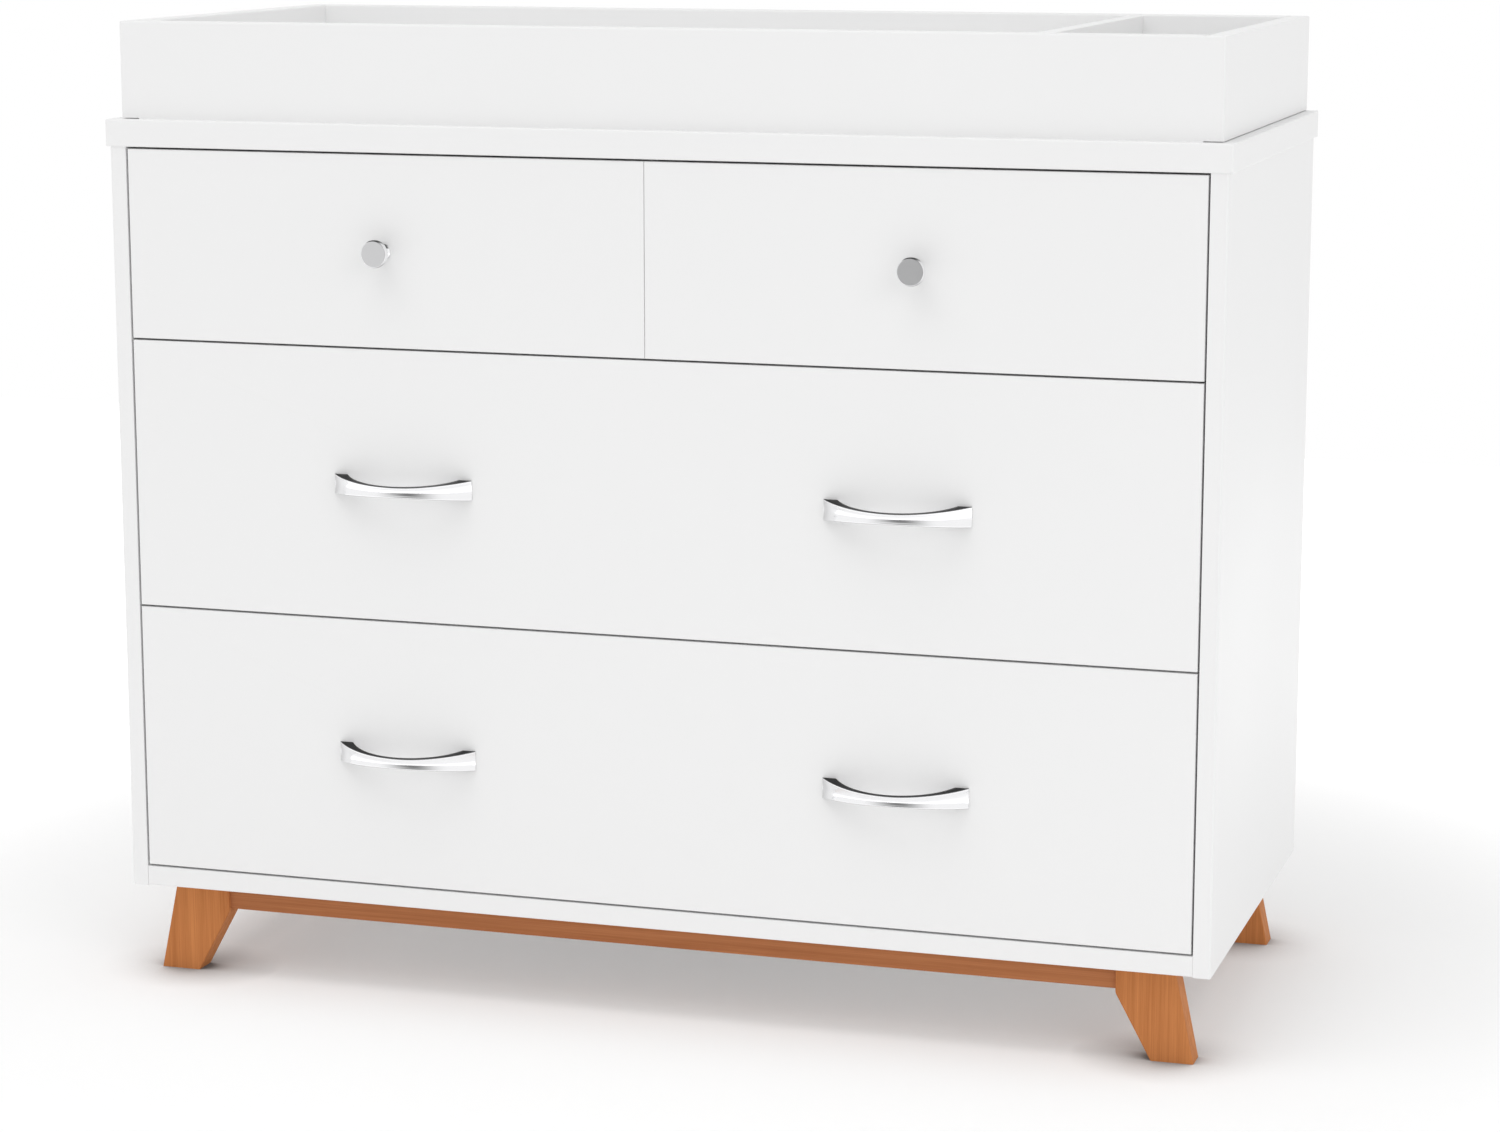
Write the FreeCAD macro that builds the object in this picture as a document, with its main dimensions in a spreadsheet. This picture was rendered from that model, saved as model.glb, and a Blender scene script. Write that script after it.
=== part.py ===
import FreeCAD, Part
import os
import Sketcher

# A dresser with four drawers on telescopic slides, a changing tray tied to its top and a base of
# splayed board legs.
# X runs across the front, +Y from the front to the back, +Z up. The floor is Z = 0 and the origin is
# the middle of the footprint, handles and rear plates included. All sizes are in millimetres.

doc = FreeCAD.newDocument("Dresser")
sheet = doc.addObject("Spreadsheet::Sheet", "Sizes")

# Driving dimensions
SIZES = [
    ("case_width", 1120, "across the outer faces of the side panels"),
    ("case_depth", 488, "front to back of the side panels"),
    ("side_thick", 17, "side panel"),
    ("side_drop", 0.6, "how far the side panels reach below the bottom board"),
    ("side_edge_radius", 2.5, "front outer corner of a side panel"),
    ("board_edge_radius", 1, "eased edge of the inner boards"),
    ("bottom_thick", 20, "bottom board"),
    ("top_thick", 26.9, "top board"),
    ("top_side_overhang", 3.8, "top board past each side panel"),
    ("top_front_overhang", 1.6, "top board past the drawer fronts"),
    ("top_rear_overhang", 2.6, "top board past the back"),
    ("top_edge_radius", 1.5, "rounded edge of the top board"),
    ("back_thick", 5, "back panel"),
    ("back_rabbet", 8, "how far the back panel is let into each side panel"),
    ("shelf_thick", 17, "shelf under the top drawers"),
    ("shelf_setback", 20, "shelf's front edge behind the partition's"),
    ("partition_thick", 17, "partition between the top drawers"),
    ("stretcher_thick", 17, "stretcher between the wide drawers"),
    ("stretcher_depth", 80, "stretcher, front to back"),
    ("front_clearance", 1, "inner boards behind the closed drawer fronts"),
    ("wide_front_height", 270, "front of a wide drawer"),
    ("top_front_height", 188.5, "front of a top drawer"),
    ("front_thick", 17, "drawer front"),
    ("front_gap", 2, "gap beside and under a drawer front"),
    ("top_gap", 2, "gap between the top drawers and the top board"),
    ("middle_gap", 0.4, "gap between the two top drawer fronts"),
    ("front_edge_radius", 1, "eased edge of a drawer front"),
    ("box_rear_space", 26, "room between a drawer box and the back panel"),
    ("box_thick", 12, "side and back of a drawer box"),
    ("box_rise", 14, "drawer box above the lower edge of its front"),
    ("box_drop", 40, "drawer box below the upper edge of its front"),
    ("panel_thick", 5, "drawer bottom panel"),
    ("groove_rise", 10, "groove above the lower edge of a drawer side"),
    ("groove_depth", 6, "groove for the drawer bottom panel"),
    ("groove_play", 0.2, "play of the bottom panel in its grooves"),
    ("runner_space", 12.7, "room for a slide between drawer and case"),
    ("runner_end_space", 38, "slide short of the rear end of the drawer box"),
    ("runner_height", 45, "case member of a slide"),
    ("runner_wall", 1.2, "rolled steel of a slide"),
    ("runner_play", 0.4, "running clearance between two members"),
    ("runner_lip", 3.5, "turned edge that keeps the next member in"),
    ("runner_depth", 10, "case member from its web to its lips"),
    ("runner_rise", 70, "middle of a slide above the lower edge of the drawer side"),
    ("runner_setback", 2, "slide behind the drawer front"),
    ("handle_length", 145, "bow handle from end to end"),
    ("handle_projection", 36, "bow handle out from the drawer front"),
    ("handle_end_height", 20, "bow handle at its ends"),
    ("handle_waist_height", 10.8, "bow handle at its middle"),
    ("handle_foot", 13.5, "foot that meets the drawer front"),
    ("handle_thick", 5.6, "bow handle at its middle, front to back"),
    ("handle_end_thick", 1.5, "blunt end of the bow handle"),
    ("handle_dish_depth", 1.1, "hollow of the front face at its ends"),
    ("handle_inset", 289.2, "middle of a bow handle in from the end of its drawer front"),
    ("handle_hole_inset", 8.5, "screw hole in from the end of the bow handle"),
    ("screw_hole", 4.5, "through hole in a drawer front"),
    ("thread_hole", 3.3, "threaded hole in a handle or knob"),
    ("thread_depth", 5, "depth of a threaded hole"),
    ("knob_inset", 272.25, "middle of a knob in from the outer end of its drawer front"),
    ("knob_projection", 25, "knob out from the drawer front"),
    ("knob_rim", 27.2, "widest place of the knob, across"),
    ("knob_rim_thick", 2.5, "straight part of the rim"),
    ("knob_bevel_depth", 2.5, "bevel between face and rim, along the axis"),
    ("knob_bevel_width", 1.4, "bevel between face and rim, across it"),
    ("knob_back", 3, "slope from the rim to the neck, along the axis"),
    ("knob_neck", 11, "neck of the knob, across"),
    ("knob_foot", 16, "foot of the knob, across"),
    ("knob_foot_thick", 2, "foot of the knob, along the axis"),
    ("leg_height", 94, "floor to the underside of the bottom board"),
    ("leg_thick", 27, "leg, front to back"),
    ("leg_top_width", 57.2, "leg under the case"),
    ("leg_foot_width", 41.8, "leg on the floor"),
    ("leg_splay", 35.2, "how far the inner edge leans out"),
    ("leg_straight", 29.5, "upright part of the inner edge"),
    ("leg_side_inset", 18.7, "foot in from the side panel's outer face"),
    ("leg_front_inset", 24, "front legs behind the case front"),
    ("leg_rear_inset", 19, "rear legs in front of the case back"),
    ("leg_knee_radius", 9, "inner edge where it starts to lean"),
    ("leg_edge_radius", 1.2, "eased long edges of a leg"),
    ("rail_height", 26.6, "rail of the base"),
    ("rail_thick", 20, "rail of the base"),
    ("rail_setback", 4, "rails behind the outer faces of the legs"),
    ("tray_side_inset", 8, "changing tray in from the side panel's outer face"),
    ("tray_height", 96.1, "changing tray above the top board"),
    ("tray_front_inset", 12, "changing tray behind the drawer fronts"),
    ("tray_thick", 19, "board of the changing tray"),
    ("tray_lift", 0.8, "side boards clear of the top board"),
    ("tray_edge_radius", 2, "rounded edges of the changing tray"),
    ("divider_thick", 16, "divider of the changing tray"),
    ("divider_drop", 1.2, "divider below the tray's upper edge"),
    ("compartment_width", 150, "small compartment of the changing tray"),
    ("plate_width", 36, "tie plate"),
    ("plate_height", 64, "tie plate"),
    ("plate_thick", 2, "tie plate"),
    ("plate_grip", 18, "tie plate below the top board's upper face"),
    ("plate_inset", 202, "middle of a tie plate in from the end of the tray"),
    ("plate_hole", 5, "screw hole in a tie plate"),
    ("plate_hole_inset", 9, "screw hole in from the plate's end"),
    ("overrun", 5, "how far a cut runs past the solid"),
    ("match_tolerance", 0.001, "how closely two places agree"),
]
for row, (alias, value, note) in enumerate(SIZES, start=1):
    sheet.set(f"A{row}", note)
    sheet.set(f"B{row}", str(value))
    sheet.setAlias(f"B{row}", alias)
doc.recompute()
SIZE_NAMES = [alias for alias, value, note in SIZES]


def given(text):
    """Turn plain size names into an expression that reads the sheet."""
    words = text.replace("(", "( ").replace(")", " )").split()
    return " ".join(f"Sizes.{word}" if word in SIZE_NAMES else word for word in words)


def number(expression):
    """The present value of an expression, in millimetres."""
    return float(sheet.evalExpression(expression))


def add(*terms):
    """The sum of several expressions."""
    return "( " + " + ".join(terms) + " )"


def less(first, *terms):
    """The first expression less all the others."""
    return "( " + " - ".join((first,) + terms) + " )"


def half(term):
    """Half of an expression."""
    return f"( {term} ) / 2"


def minus(term):
    """The negative of an expression."""
    return f"( 0 - {term} )"


# Levels and faces that several pieces share
CASE_DEPTH = given("case_depth")
OUTER_SIDE = given("case_width / 2")
INNER_SIDE = given("( case_width / 2 - side_thick )")
FRONT = given("( ( handle_projection - case_depth - top_rear_overhang - plate_thick ) / 2 )")
BACK = add(FRONT, CASE_DEPTH)
BACK_PANEL_FACE = less(BACK, given("back_thick"))
INNER_FRONT = add(FRONT, given("front_thick"), given("front_clearance"))
BOTTOM_FACE = given("leg_height")
BOTTOM_TOP = given("( leg_height + bottom_thick )")
LOW_FRONT = add(BOTTOM_TOP, given("front_gap"))
MIDDLE_FRONT = add(LOW_FRONT, given("wide_front_height"), given("front_gap"))
TOP_FRONT = add(MIDDLE_FRONT, given("wide_front_height"), given("front_gap"))
TOP_FACE = add(TOP_FRONT, given("top_front_height"), given("top_gap"))
TOP_SURFACE = add(TOP_FACE, given("top_thick"))
STRETCHER_MIDDLE = less(MIDDLE_FRONT, given("front_gap / 2"))
SHELF_MIDDLE = less(TOP_FRONT, given("front_gap / 2"))
SHELF_TOP = add(SHELF_MIDDLE, given("shelf_thick / 2"))
PARTITION_SIDE = given("partition_thick / 2")

nodes = []


def origin_plane(body, role):
    """One of the body's own origin planes."""
    return [feature for feature in body.Origin.OriginFeatures if feature.Role == role][0]


def new_body(label, place, turned=False):
    """A body whose own origin stands at three expressions, and which may face the other way."""
    body = doc.addObject("PartDesign::Body", label)
    body.Label = label
    turn = 180 if turned else 0
    body.Placement = FreeCAD.Placement(FreeCAD.Vector(0, 0, 0), FreeCAD.Rotation(turn, 0, 0))
    for axis, expression in zip("xyz", place):
        body.setExpression(f"Placement.Base.{axis}", expression)
    nodes.append(body)
    return body


def new_sketch(body, plane, name):
    """An empty sketch on one of the body's origin planes."""
    sketch = body.newObject("Sketcher::SketchObject", name)
    sketch.AttachmentSupport = [(origin_plane(body, plane), "")]
    sketch.MapMode = "FlatFace"
    return sketch


def bind(sketch, constraint, expression):
    """Add a constraint whose value follows an expression."""
    index = sketch.addConstraint(constraint)
    sketch.setExpression(f"Constraints[{index}]", expression)


def pin_point(sketch, edge, end, x, y):
    """Hold a point at two distances from the sketch's origin. A zero lies on the axis itself."""
    if x == "0":
        sketch.addConstraint(Sketcher.Constraint("PointOnObject", edge, end, -2))
    else:
        bind(sketch, Sketcher.Constraint("DistanceX", -1, 1, edge, end, number(x)), x)
    if y == "0":
        sketch.addConstraint(Sketcher.Constraint("PointOnObject", edge, end, -1))
    else:
        bind(sketch, Sketcher.Constraint("DistanceY", -1, 1, edge, end, number(y)), y)


def add_outline(sketch, points):
    """Add a closed outline of straight edges whose corners are pairs of expressions."""
    first = sketch.GeometryCount
    corners = [FreeCAD.Vector(number(x), number(y), 0) for x, y in points]
    for start, end in zip(corners, corners[1:] + corners[:1]):
        sketch.addGeometry(Part.LineSegment(start, end), False)
    for index, (x, y) in enumerate(points):
        edge = first + index
        before = first + (index - 1) % len(points)
        sketch.addConstraint(Sketcher.Constraint("Coincident", before, 2, edge, 1))
        pin_point(sketch, edge, 1, x, y)


def add_circle(sketch, x, y, diameter):
    """Add a circle of a given diameter."""
    middle = FreeCAD.Vector(number(x), number(y), 0)
    normal = FreeCAD.Vector(0, 0, 1)
    edge = sketch.addGeometry(Part.Circle(middle, normal, number(diameter) / 2), False)
    pin_point(sketch, edge, 3, x, y)
    bind(sketch, Sketcher.Constraint("Diameter", edge, number(diameter)), diameter)


def pad(body, sketch, length, reverse=False, symmetric=False):
    """Raise a sketch to a length."""
    feature = body.newObject("PartDesign::Pad", "Pad")
    feature.Profile = sketch
    feature.setExpression("Length", length)
    feature.Reversed = reverse
    feature.SideType = "Symmetric" if symmetric else "One side"
    body.Tip = feature
    doc.recompute()
    return feature


def pocket(body, sketch, length, reverse=False, symmetric=False):
    """Cut a sketch into the body, and make sure that it took material away."""
    before = body.Tip.Shape.Volume
    feature = body.newObject("PartDesign::Pocket", "Pocket")
    feature.Profile = sketch
    feature.setExpression("Length", length)
    feature.Reversed = reverse
    feature.SideType = "Symmetric" if symmetric else "One side"
    body.Tip = feature
    doc.recompute()
    if not feature.Shape.Volume < before:
        raise RuntimeError(f"{body.Label}: a pocket cuts nothing")
    return feature


def add_axis(sketch, x, levels):
    """An upright construction line that a feature can turn about."""
    ends = [FreeCAD.Vector(number(x), number(level), 0) for level in levels]
    edge = sketch.addGeometry(Part.LineSegment(*ends), True)
    for end, level in enumerate(levels, start=1):
        pin_point(sketch, edge, end, x, level)
    return "Axis0"


def groove_round(body, sketch, axis):
    """Cut a sketch away all round an axis, and make sure that it took material away."""
    before = body.Tip.Shape.Volume
    feature = body.newObject("PartDesign::Groove", "Groove")
    feature.Profile = sketch
    feature.ReferenceAxis = (sketch, [axis])
    feature.Angle = 360
    body.Tip = feature
    doc.recompute()
    if not feature.Shape.Volume < before:
        raise RuntimeError(f"{body.Label}: a groove cuts nothing")


def mirror_across(body):
    """Repeat all of a body on the other side of its own middle plane."""
    original = body.Tip
    feature = body.newObject("PartDesign::Mirrored", "Mirrored")
    feature.Originals = [original]
    feature.MirrorPlane = (origin_plane(body, "YZ_Plane"), [""])
    body.Tip = feature
    doc.recompute()


def round_edges(body, radius, chosen):
    """Fillet the edges of the tip that the test picks."""
    base = body.Tip
    names = [f"Edge{index}" for index, edge in enumerate(base.Shape.Edges, start=1) if chosen(edge)]
    feature = body.newObject("PartDesign::Fillet", "Ease")
    feature.Base = (base, names)
    feature.setExpression("Radius", radius)
    body.Tip = feature
    doc.recompute()
    return feature


def same(first, second):
    """Whether two lengths agree."""
    return abs(first - second) < number(given("match_tolerance"))


def lies_at(axis, expression):
    """A test for edges that lie wholly in the plane where an axis has a given value."""
    level = number(expression)

    def test(edge):
        box = edge.BoundBox
        lowest = getattr(box, f"{axis}Min")
        highest = getattr(box, f"{axis}Max")
        return same(lowest, level) and same(highest, level)

    return test


def both(first, second):
    """A test that two other tests agree on."""
    return lambda edge: first(edge) and second(edge)


def either(*tests):
    """A test that any of several tests passes."""
    return lambda edge: any(test(edge) for test in tests)


def every_edge(edge):
    """A test that takes every edge."""
    return True


def board(label, size, place):
    """A board with its lowest corner at a place, before its edges are eased."""
    width, depth, height = size
    body = new_body(label, place)
    sketch = new_sketch(body, "XY_Plane", "Outline")
    add_outline(sketch, [("0", "0"), (width, "0"), (width, depth), ("0", depth)])
    pad(body, sketch, height)
    return body


# The case

def side_panel(label, right):
    """A side panel with a rabbet at the back for the back panel and a rounded front corner."""
    thick = given("side_thick")
    rabbet_start = less(thick, given("back_rabbet"))
    rabbet_depth = less(CASE_DEPTH, given("back_thick"))
    points = [("0", "0"), (thick, "0"), (thick, rabbet_depth), (rabbet_start, rabbet_depth)]
    points += [(rabbet_start, CASE_DEPTH), ("0", CASE_DEPTH)]
    side = OUTER_SIDE if right else minus(OUTER_SIDE)
    bottom = less(BOTTOM_FACE, given("side_drop"))
    body = new_body(label, (side, FRONT, bottom))
    sketch = new_sketch(body, "XY_Plane", "Outline")
    if right:
        points = [(minus(x) if x != "0" else x, y) for x, y in points]
    add_outline(sketch, points)
    pad(body, sketch, less(TOP_FACE, bottom))
    round_edges(body, given("side_edge_radius"), both(lies_at("X", "0"), lies_at("Y", "0")))
    return body


def bottom_board():
    """The bottom board, whose front edge shows under the bottom drawer."""
    size = (add(INNER_SIDE, INNER_SIDE), less(CASE_DEPTH, given("back_thick")), given("bottom_thick"))
    body = board("bottom_board", size, (minus(INNER_SIDE), FRONT, BOTTOM_FACE))
    round_edges(body, given("board_edge_radius"), lies_at("Y", "0"))


def top_board():
    """The top board, rounded all round, a little larger than the case."""
    width = given("( case_width + 2 * top_side_overhang )")
    depth = given("( case_depth + top_front_overhang + top_rear_overhang )")
    place = (minus(half(width)), less(FRONT, given("top_front_overhang")), TOP_FACE)
    body = board("top_board", (width, depth, given("top_thick")), place)
    round_edges(body, given("top_edge_radius"), every_edge)


def back_panel():
    """The thin back panel, let into the side panels and flush with their rear edges."""
    reach = add(INNER_SIDE, given("back_rabbet"))
    size = (add(reach, reach), given("back_thick"), less(TOP_FACE, BOTTOM_FACE))
    board("back_panel", size, (minus(reach), BACK_PANEL_FACE, BOTTOM_FACE))


def drawer_shelf():
    """The shelf under the top drawers."""
    front = add(INNER_FRONT, given("shelf_setback"))
    size = (add(INNER_SIDE, INNER_SIDE), less(BACK_PANEL_FACE, front), given("shelf_thick"))
    place = (minus(INNER_SIDE), front, less(SHELF_TOP, given("shelf_thick")))
    body = board("drawer_shelf", size, place)
    round_edges(body, given("board_edge_radius"), lies_at("Y", "0"))


def centre_partition():
    """The partition that stands on the shelf between the top drawers."""
    size = (given("partition_thick"), less(BACK_PANEL_FACE, INNER_FRONT), less(TOP_FACE, SHELF_TOP))
    body = board("centre_partition", size, (minus(PARTITION_SIDE), INNER_FRONT, SHELF_TOP))
    round_edges(body, given("board_edge_radius"), lies_at("Y", "0"))


def drawer_stretcher():
    """The stretcher behind the gap between the two wide drawers."""
    size = (add(INNER_SIDE, INNER_SIDE), given("stretcher_depth"), given("stretcher_thick"))
    place = (minus(INNER_SIDE), INNER_FRONT, less(STRETCHER_MIDDLE, given("stretcher_thick / 2")))
    body = board("drawer_stretcher", size, place)
    round_edges(body, given("board_edge_radius"), lies_at("Y", "0"))


# The base of legs and rails

LEG_INNER = given("( case_width / 2 - leg_side_inset - leg_foot_width - leg_splay )")
FRONT_LEG_FACE = add(FRONT, given("leg_front_inset"))
REAR_LEG_BACK = less(BACK, given("leg_rear_inset"))


def leg(label, right, face):
    """A board leg whose inner edge drops straight, then leans out to the foot.

    Its front face is at the given Y. A left leg is a right one turned half round."""
    splay = given("leg_splay")
    toe = given("( leg_splay + leg_foot_width )")
    corner = (LEG_INNER, face) if right else (minus(LEG_INNER), add(face, given("leg_thick")))
    body = new_body(label, (*corner, "0"), turned=not right)
    knee = given("( leg_height - leg_straight )")
    points = [(splay, "0"), (toe, "0"), (given("leg_top_width"), BOTTOM_FACE), ("0", BOTTOM_FACE)]
    points += [("0", knee)]
    sketch = new_sketch(body, "XZ_Plane", "Outline")
    add_outline(sketch, points)
    pad(body, sketch, given("leg_thick"), reverse=True)
    at_knee = both(lies_at("X", "0"), lies_at("Z", knee))
    round_edges(body, given("leg_knee_radius"), at_knee)
    on_faces = either(lies_at("Y", "0"), lies_at("Y", given("leg_thick")))
    on_ends = either(lies_at("Z", "0"), lies_at("Z", BOTTOM_FACE))
    round_edges(body, given("leg_edge_radius"), lambda edge: on_faces(edge) and not on_ends(edge))


def legs():
    """Four legs that lean out to the sides."""
    for place, face in (("front", FRONT_LEG_FACE), ("rear", less(REAR_LEG_BACK, given("leg_thick")))):
        leg(f"{place}_right_leg", True, face)
        leg(f"{place}_left_leg", False, face)


def rails():
    """Rails between the legs under the bottom board."""
    level = less(BOTTOM_FACE, given("rail_height"))
    thick = given("rail_thick")
    across = (add(LEG_INNER, LEG_INNER), thick, given("rail_height"))
    front = add(FRONT_LEG_FACE, given("rail_setback"))
    rear = less(REAR_LEG_BACK, given("rail_setback"), thick)
    for label, face in (("front_rail", front), ("rear_rail", rear)):
        body = board(label, across, (minus(LEG_INNER), face, level))
        round_edges(body, given("leg_edge_radius"), both(lies_at("Z", "0"), either(
            lies_at("Y", "0"), lies_at("Y", thick))))
    start = add(FRONT_LEG_FACE, given("leg_thick"))
    along = (thick, less(REAR_LEG_BACK, given("leg_thick"), start), given("rail_height"))
    inset = add(LEG_INNER, half(less(given("leg_top_width"), thick)))
    for label, side in (("right_rail", inset), ("left_rail", less(minus(inset), thick))):
        body = board(label, along, (side, start, level))
        round_edges(body, given("leg_edge_radius"), both(lies_at("Z", "0"), either(
            lies_at("X", "0"), lies_at("X", thick))))


# The changing tray

TRAY_SIDE = given("( case_width / 2 - tray_side_inset )")
TRAY_INNER = less(TRAY_SIDE, given("tray_thick"))
TRAY_FRONT = add(FRONT, given("tray_front_inset"))
TOP_REAR = add(BACK, given("top_rear_overhang"))
DIVIDER_SIDE = less(TRAY_INNER, given("compartment_width"), given("divider_thick"))


def tray_end_board(label, face):
    """The front or rear board, which stands on the top board between the side boards."""
    thick = given("tray_thick")
    size = (add(TRAY_INNER, TRAY_INNER), thick, given("tray_height"))
    body = board(label, size, (minus(TRAY_INNER), face, TOP_SURFACE))
    long_edges = either(lies_at("Y", "0"), lies_at("Y", thick))
    upper = both(lies_at("Z", given("tray_height")), long_edges)
    round_edges(body, given("tray_edge_radius"), upper)


def tray_side_board(label, right):
    """A side board, which runs the whole depth of the tray just clear of the top board."""
    thick = given("tray_thick")
    depth = less(TOP_REAR, TRAY_FRONT)
    height = less(given("tray_height"), given("tray_lift"))
    side = TRAY_INNER if right else minus(TRAY_SIDE)
    place = (side, TRAY_FRONT, add(TOP_SURFACE, given("tray_lift")))
    body = board(label, (thick, depth, height), place)
    outer = lies_at("X", thick if right else "0")
    ends = either(lies_at("Y", "0"), lies_at("Y", depth))
    round_edges(body, given("tray_edge_radius"), either(lies_at("Z", height), both(outer, ends)))


def tray_divider():
    """The divider that makes the small compartment, a little lower than the tray."""
    start = add(TRAY_FRONT, given("tray_thick"))
    end = less(TOP_REAR, given("tray_thick"))
    height = less(given("tray_height"), given("divider_drop"))
    thick = given("divider_thick")
    body = board("tray_divider", (thick, less(end, start), height), (DIVIDER_SIDE, start, TOP_SURFACE))
    long_edges = either(lies_at("X", "0"), lies_at("X", thick))
    upper = both(lies_at("Z", height), long_edges)
    round_edges(body, given("board_edge_radius"), upper)


def tray_plates():
    """Two steel plates that tie the tray's rear board to the edge of the top board."""
    width = given("plate_width")
    height = given("plate_height")
    middle = less(TRAY_SIDE, given("plate_inset"))
    start = less(middle, half(width))
    end = add(middle, half(width))
    body = new_body("tray_plates", ("0", TOP_REAR, less(TOP_SURFACE, given("plate_grip"))))
    body.AllowCompound = True
    sketch = new_sketch(body, "XZ_Plane", "Outline")
    add_outline(sketch, [(start, "0"), (end, "0"), (end, height), (start, height)])
    for level in (given("plate_hole_inset"), less(height, given("plate_hole_inset"))):
        add_circle(sketch, middle, level, given("plate_hole"))
    pad(body, sketch, given("plate_thick"), reverse=True)
    mirror_across(body)


# The slides. Each member is a rolled profile, drawn from the case's side towards the drawer.

def channel(start, depth, height, lip):
    """A channel that is open towards the drawer and whose edges turn in to keep the next member."""
    wall = given("runner_wall")
    end = add(start, depth)
    inside = less(end, wall)
    web = add(start, wall)
    reach = half(height)
    flange = less(reach, wall)
    opening = less(reach, lip)
    upper = [(start, reach), (end, reach), (end, opening)]
    upper += [(inside, opening), (inside, flange), (web, flange)]
    lower = [(x, minus(y)) for x, y in reversed(upper)]
    return upper + lower


def hat(start, end, crown, brim):
    """A hat profile: the crown carries the drawer and the brim is kept by the middle member."""
    wall = given("runner_wall")
    brim_face = add(start, wall)
    top = less(end, wall)
    outer = half(crown)
    inner = less(outer, wall)
    reach = half(brim)
    upper = [(top, inner), (start, inner), (start, reach)]
    upper += [(brim_face, reach), (brim_face, outer), (end, outer)]
    lower = [(x, minus(y)) for x, y in reversed(upper)]
    return upper + lower


STEP = given("( runner_wall + runner_play )")
OUTER_MEMBER = channel("0", given("runner_depth"), given("runner_height"), given("runner_lip"))
CENTRE_HEIGHT = less(given("runner_height"), STEP, STEP)
CENTRE_DEPTH = less(given("runner_depth"), STEP, STEP)
CENTRE_MEMBER = channel(STEP, CENTRE_DEPTH, CENTRE_HEIGHT, given("runner_lip"))
BRIM = less(CENTRE_HEIGHT, STEP, STEP)
CROWN = less(CENTRE_HEIGHT, given("2 * runner_lip"), given("2 * runner_play"))
INNER_MEMBER = hat(add(STEP, STEP), given("runner_space"), CROWN, BRIM)


def runner_pair(label, profile, middle, opening, level):
    """The same member of both slides of a drawer, whose opening has a middle and a width."""
    start = add(FRONT, given("front_thick"), given("runner_setback"))
    body = new_body(label, (middle, start, level))
    body.AllowCompound = True
    sketch = new_sketch(body, "XZ_Plane", "Profile")
    wall = half(opening)
    add_outline(sketch, [(less(wall, x), y) for x, y in profile])
    pad(body, sketch, less(BOX_LENGTH, given("runner_setback"), given("runner_end_space")), reverse=True)
    mirror_across(body)


# The drawers

WIDE_OPENING = (minus(INNER_SIDE), INNER_SIDE)
OUTER_EDGE = less(INNER_SIDE, given("front_gap"))
WIDE_FACE = (minus(OUTER_EDGE), OUTER_EDGE)
FRONT_REAR = add(FRONT, given("front_thick"))
BOX_THICK = given("box_thick")
BOX_REAR = less(BACK_PANEL_FACE, given("box_rear_space"))
BOX_LENGTH = less(BOX_REAR, FRONT_REAR)
PANEL_RISE = given("groove_rise")
TONGUE = given("( groove_depth - groove_play )")


def box_sides(opening):
    """The outer faces of a drawer box in an opening."""
    return add(opening[0], given("runner_space")), less(opening[1], given("runner_space"))


def drawer_front(name, face, opening, level, height, screws):
    """A plain slab with eased edges, a stopped groove for the bottom panel and its screw holes."""
    left, right = face
    size = (less(right, left), given("front_thick"), height)
    body = board(f"{name}_drawer_front", size, (left, FRONT, level))
    round_edges(body, given("front_edge_radius"), lies_at("Y", "0"))
    groove = new_sketch(body, "XZ_Plane", "Groove")
    groove.setExpression(".AttachmentOffset.Base.z", minus(given("front_thick")))
    outer_left, outer_right = box_sides(opening)
    start = less(add(outer_left, BOX_THICK), given("groove_depth"), left)
    end = less(add(outer_right, given("groove_depth")), BOX_THICK, left)
    lower = add(given("box_rise"), PANEL_RISE)
    upper = add(lower, given("panel_thick"), given("groove_play"))
    add_outline(groove, [(start, lower), (end, lower), (end, upper), (start, upper)])
    pocket(body, groove, given("groove_depth"), reverse=True)
    holes = new_sketch(body, "XZ_Plane", "ScrewHoles")
    for x in screws:
        add_circle(holes, less(x, left), half(height), given("screw_hole"))
    pocket(body, holes, given("( front_thick + overrun )"))


def drawer_side(name, opening, base, height, right):
    """A side of the box, whose profile has the groove for the bottom panel."""
    outer_left, outer_right = box_sides(opening)
    place = (outer_right if right else outer_left, FRONT_REAR, base)
    depth = less(BOX_THICK, given("groove_depth"))
    upper = add(PANEL_RISE, given("panel_thick"), given("groove_play"))
    points = [("0", "0"), (BOX_THICK, "0"), (BOX_THICK, PANEL_RISE), (depth, PANEL_RISE), (depth, upper)]
    points += [(BOX_THICK, upper), (BOX_THICK, height), ("0", height)]
    if right:
        points = [(minus(x) if x != "0" else x, y) for x, y in points]
    side = "right" if right else "left"
    body = new_body(f"{name}_drawer_{side}_side", place)
    sketch = new_sketch(body, "XZ_Plane", "Profile")
    add_outline(sketch, points)
    pad(body, sketch, BOX_LENGTH, reverse=True)
    inner = minus(BOX_THICK) if right else BOX_THICK
    along = either(lies_at("X", "0"), lies_at("X", inner))
    round_edges(body, given("board_edge_radius"), both(lies_at("Z", height), along))


def drawer_back(name, opening, base, height):
    """The back of the box, which stands on the bottom panel between the sides."""
    outer_left, outer_right = box_sides(opening)
    start = add(outer_left, BOX_THICK)
    floor = add(PANEL_RISE, given("panel_thick"))
    size = (less(outer_right, BOX_THICK, start), BOX_THICK, less(height, floor))
    body = board(f"{name}_drawer_back", size, (start, less(BOX_REAR, BOX_THICK), add(base, floor)))
    along = either(lies_at("Y", "0"), lies_at("Y", BOX_THICK))
    round_edges(body, given("board_edge_radius"), both(lies_at("Z", size[2]), along))


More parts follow.
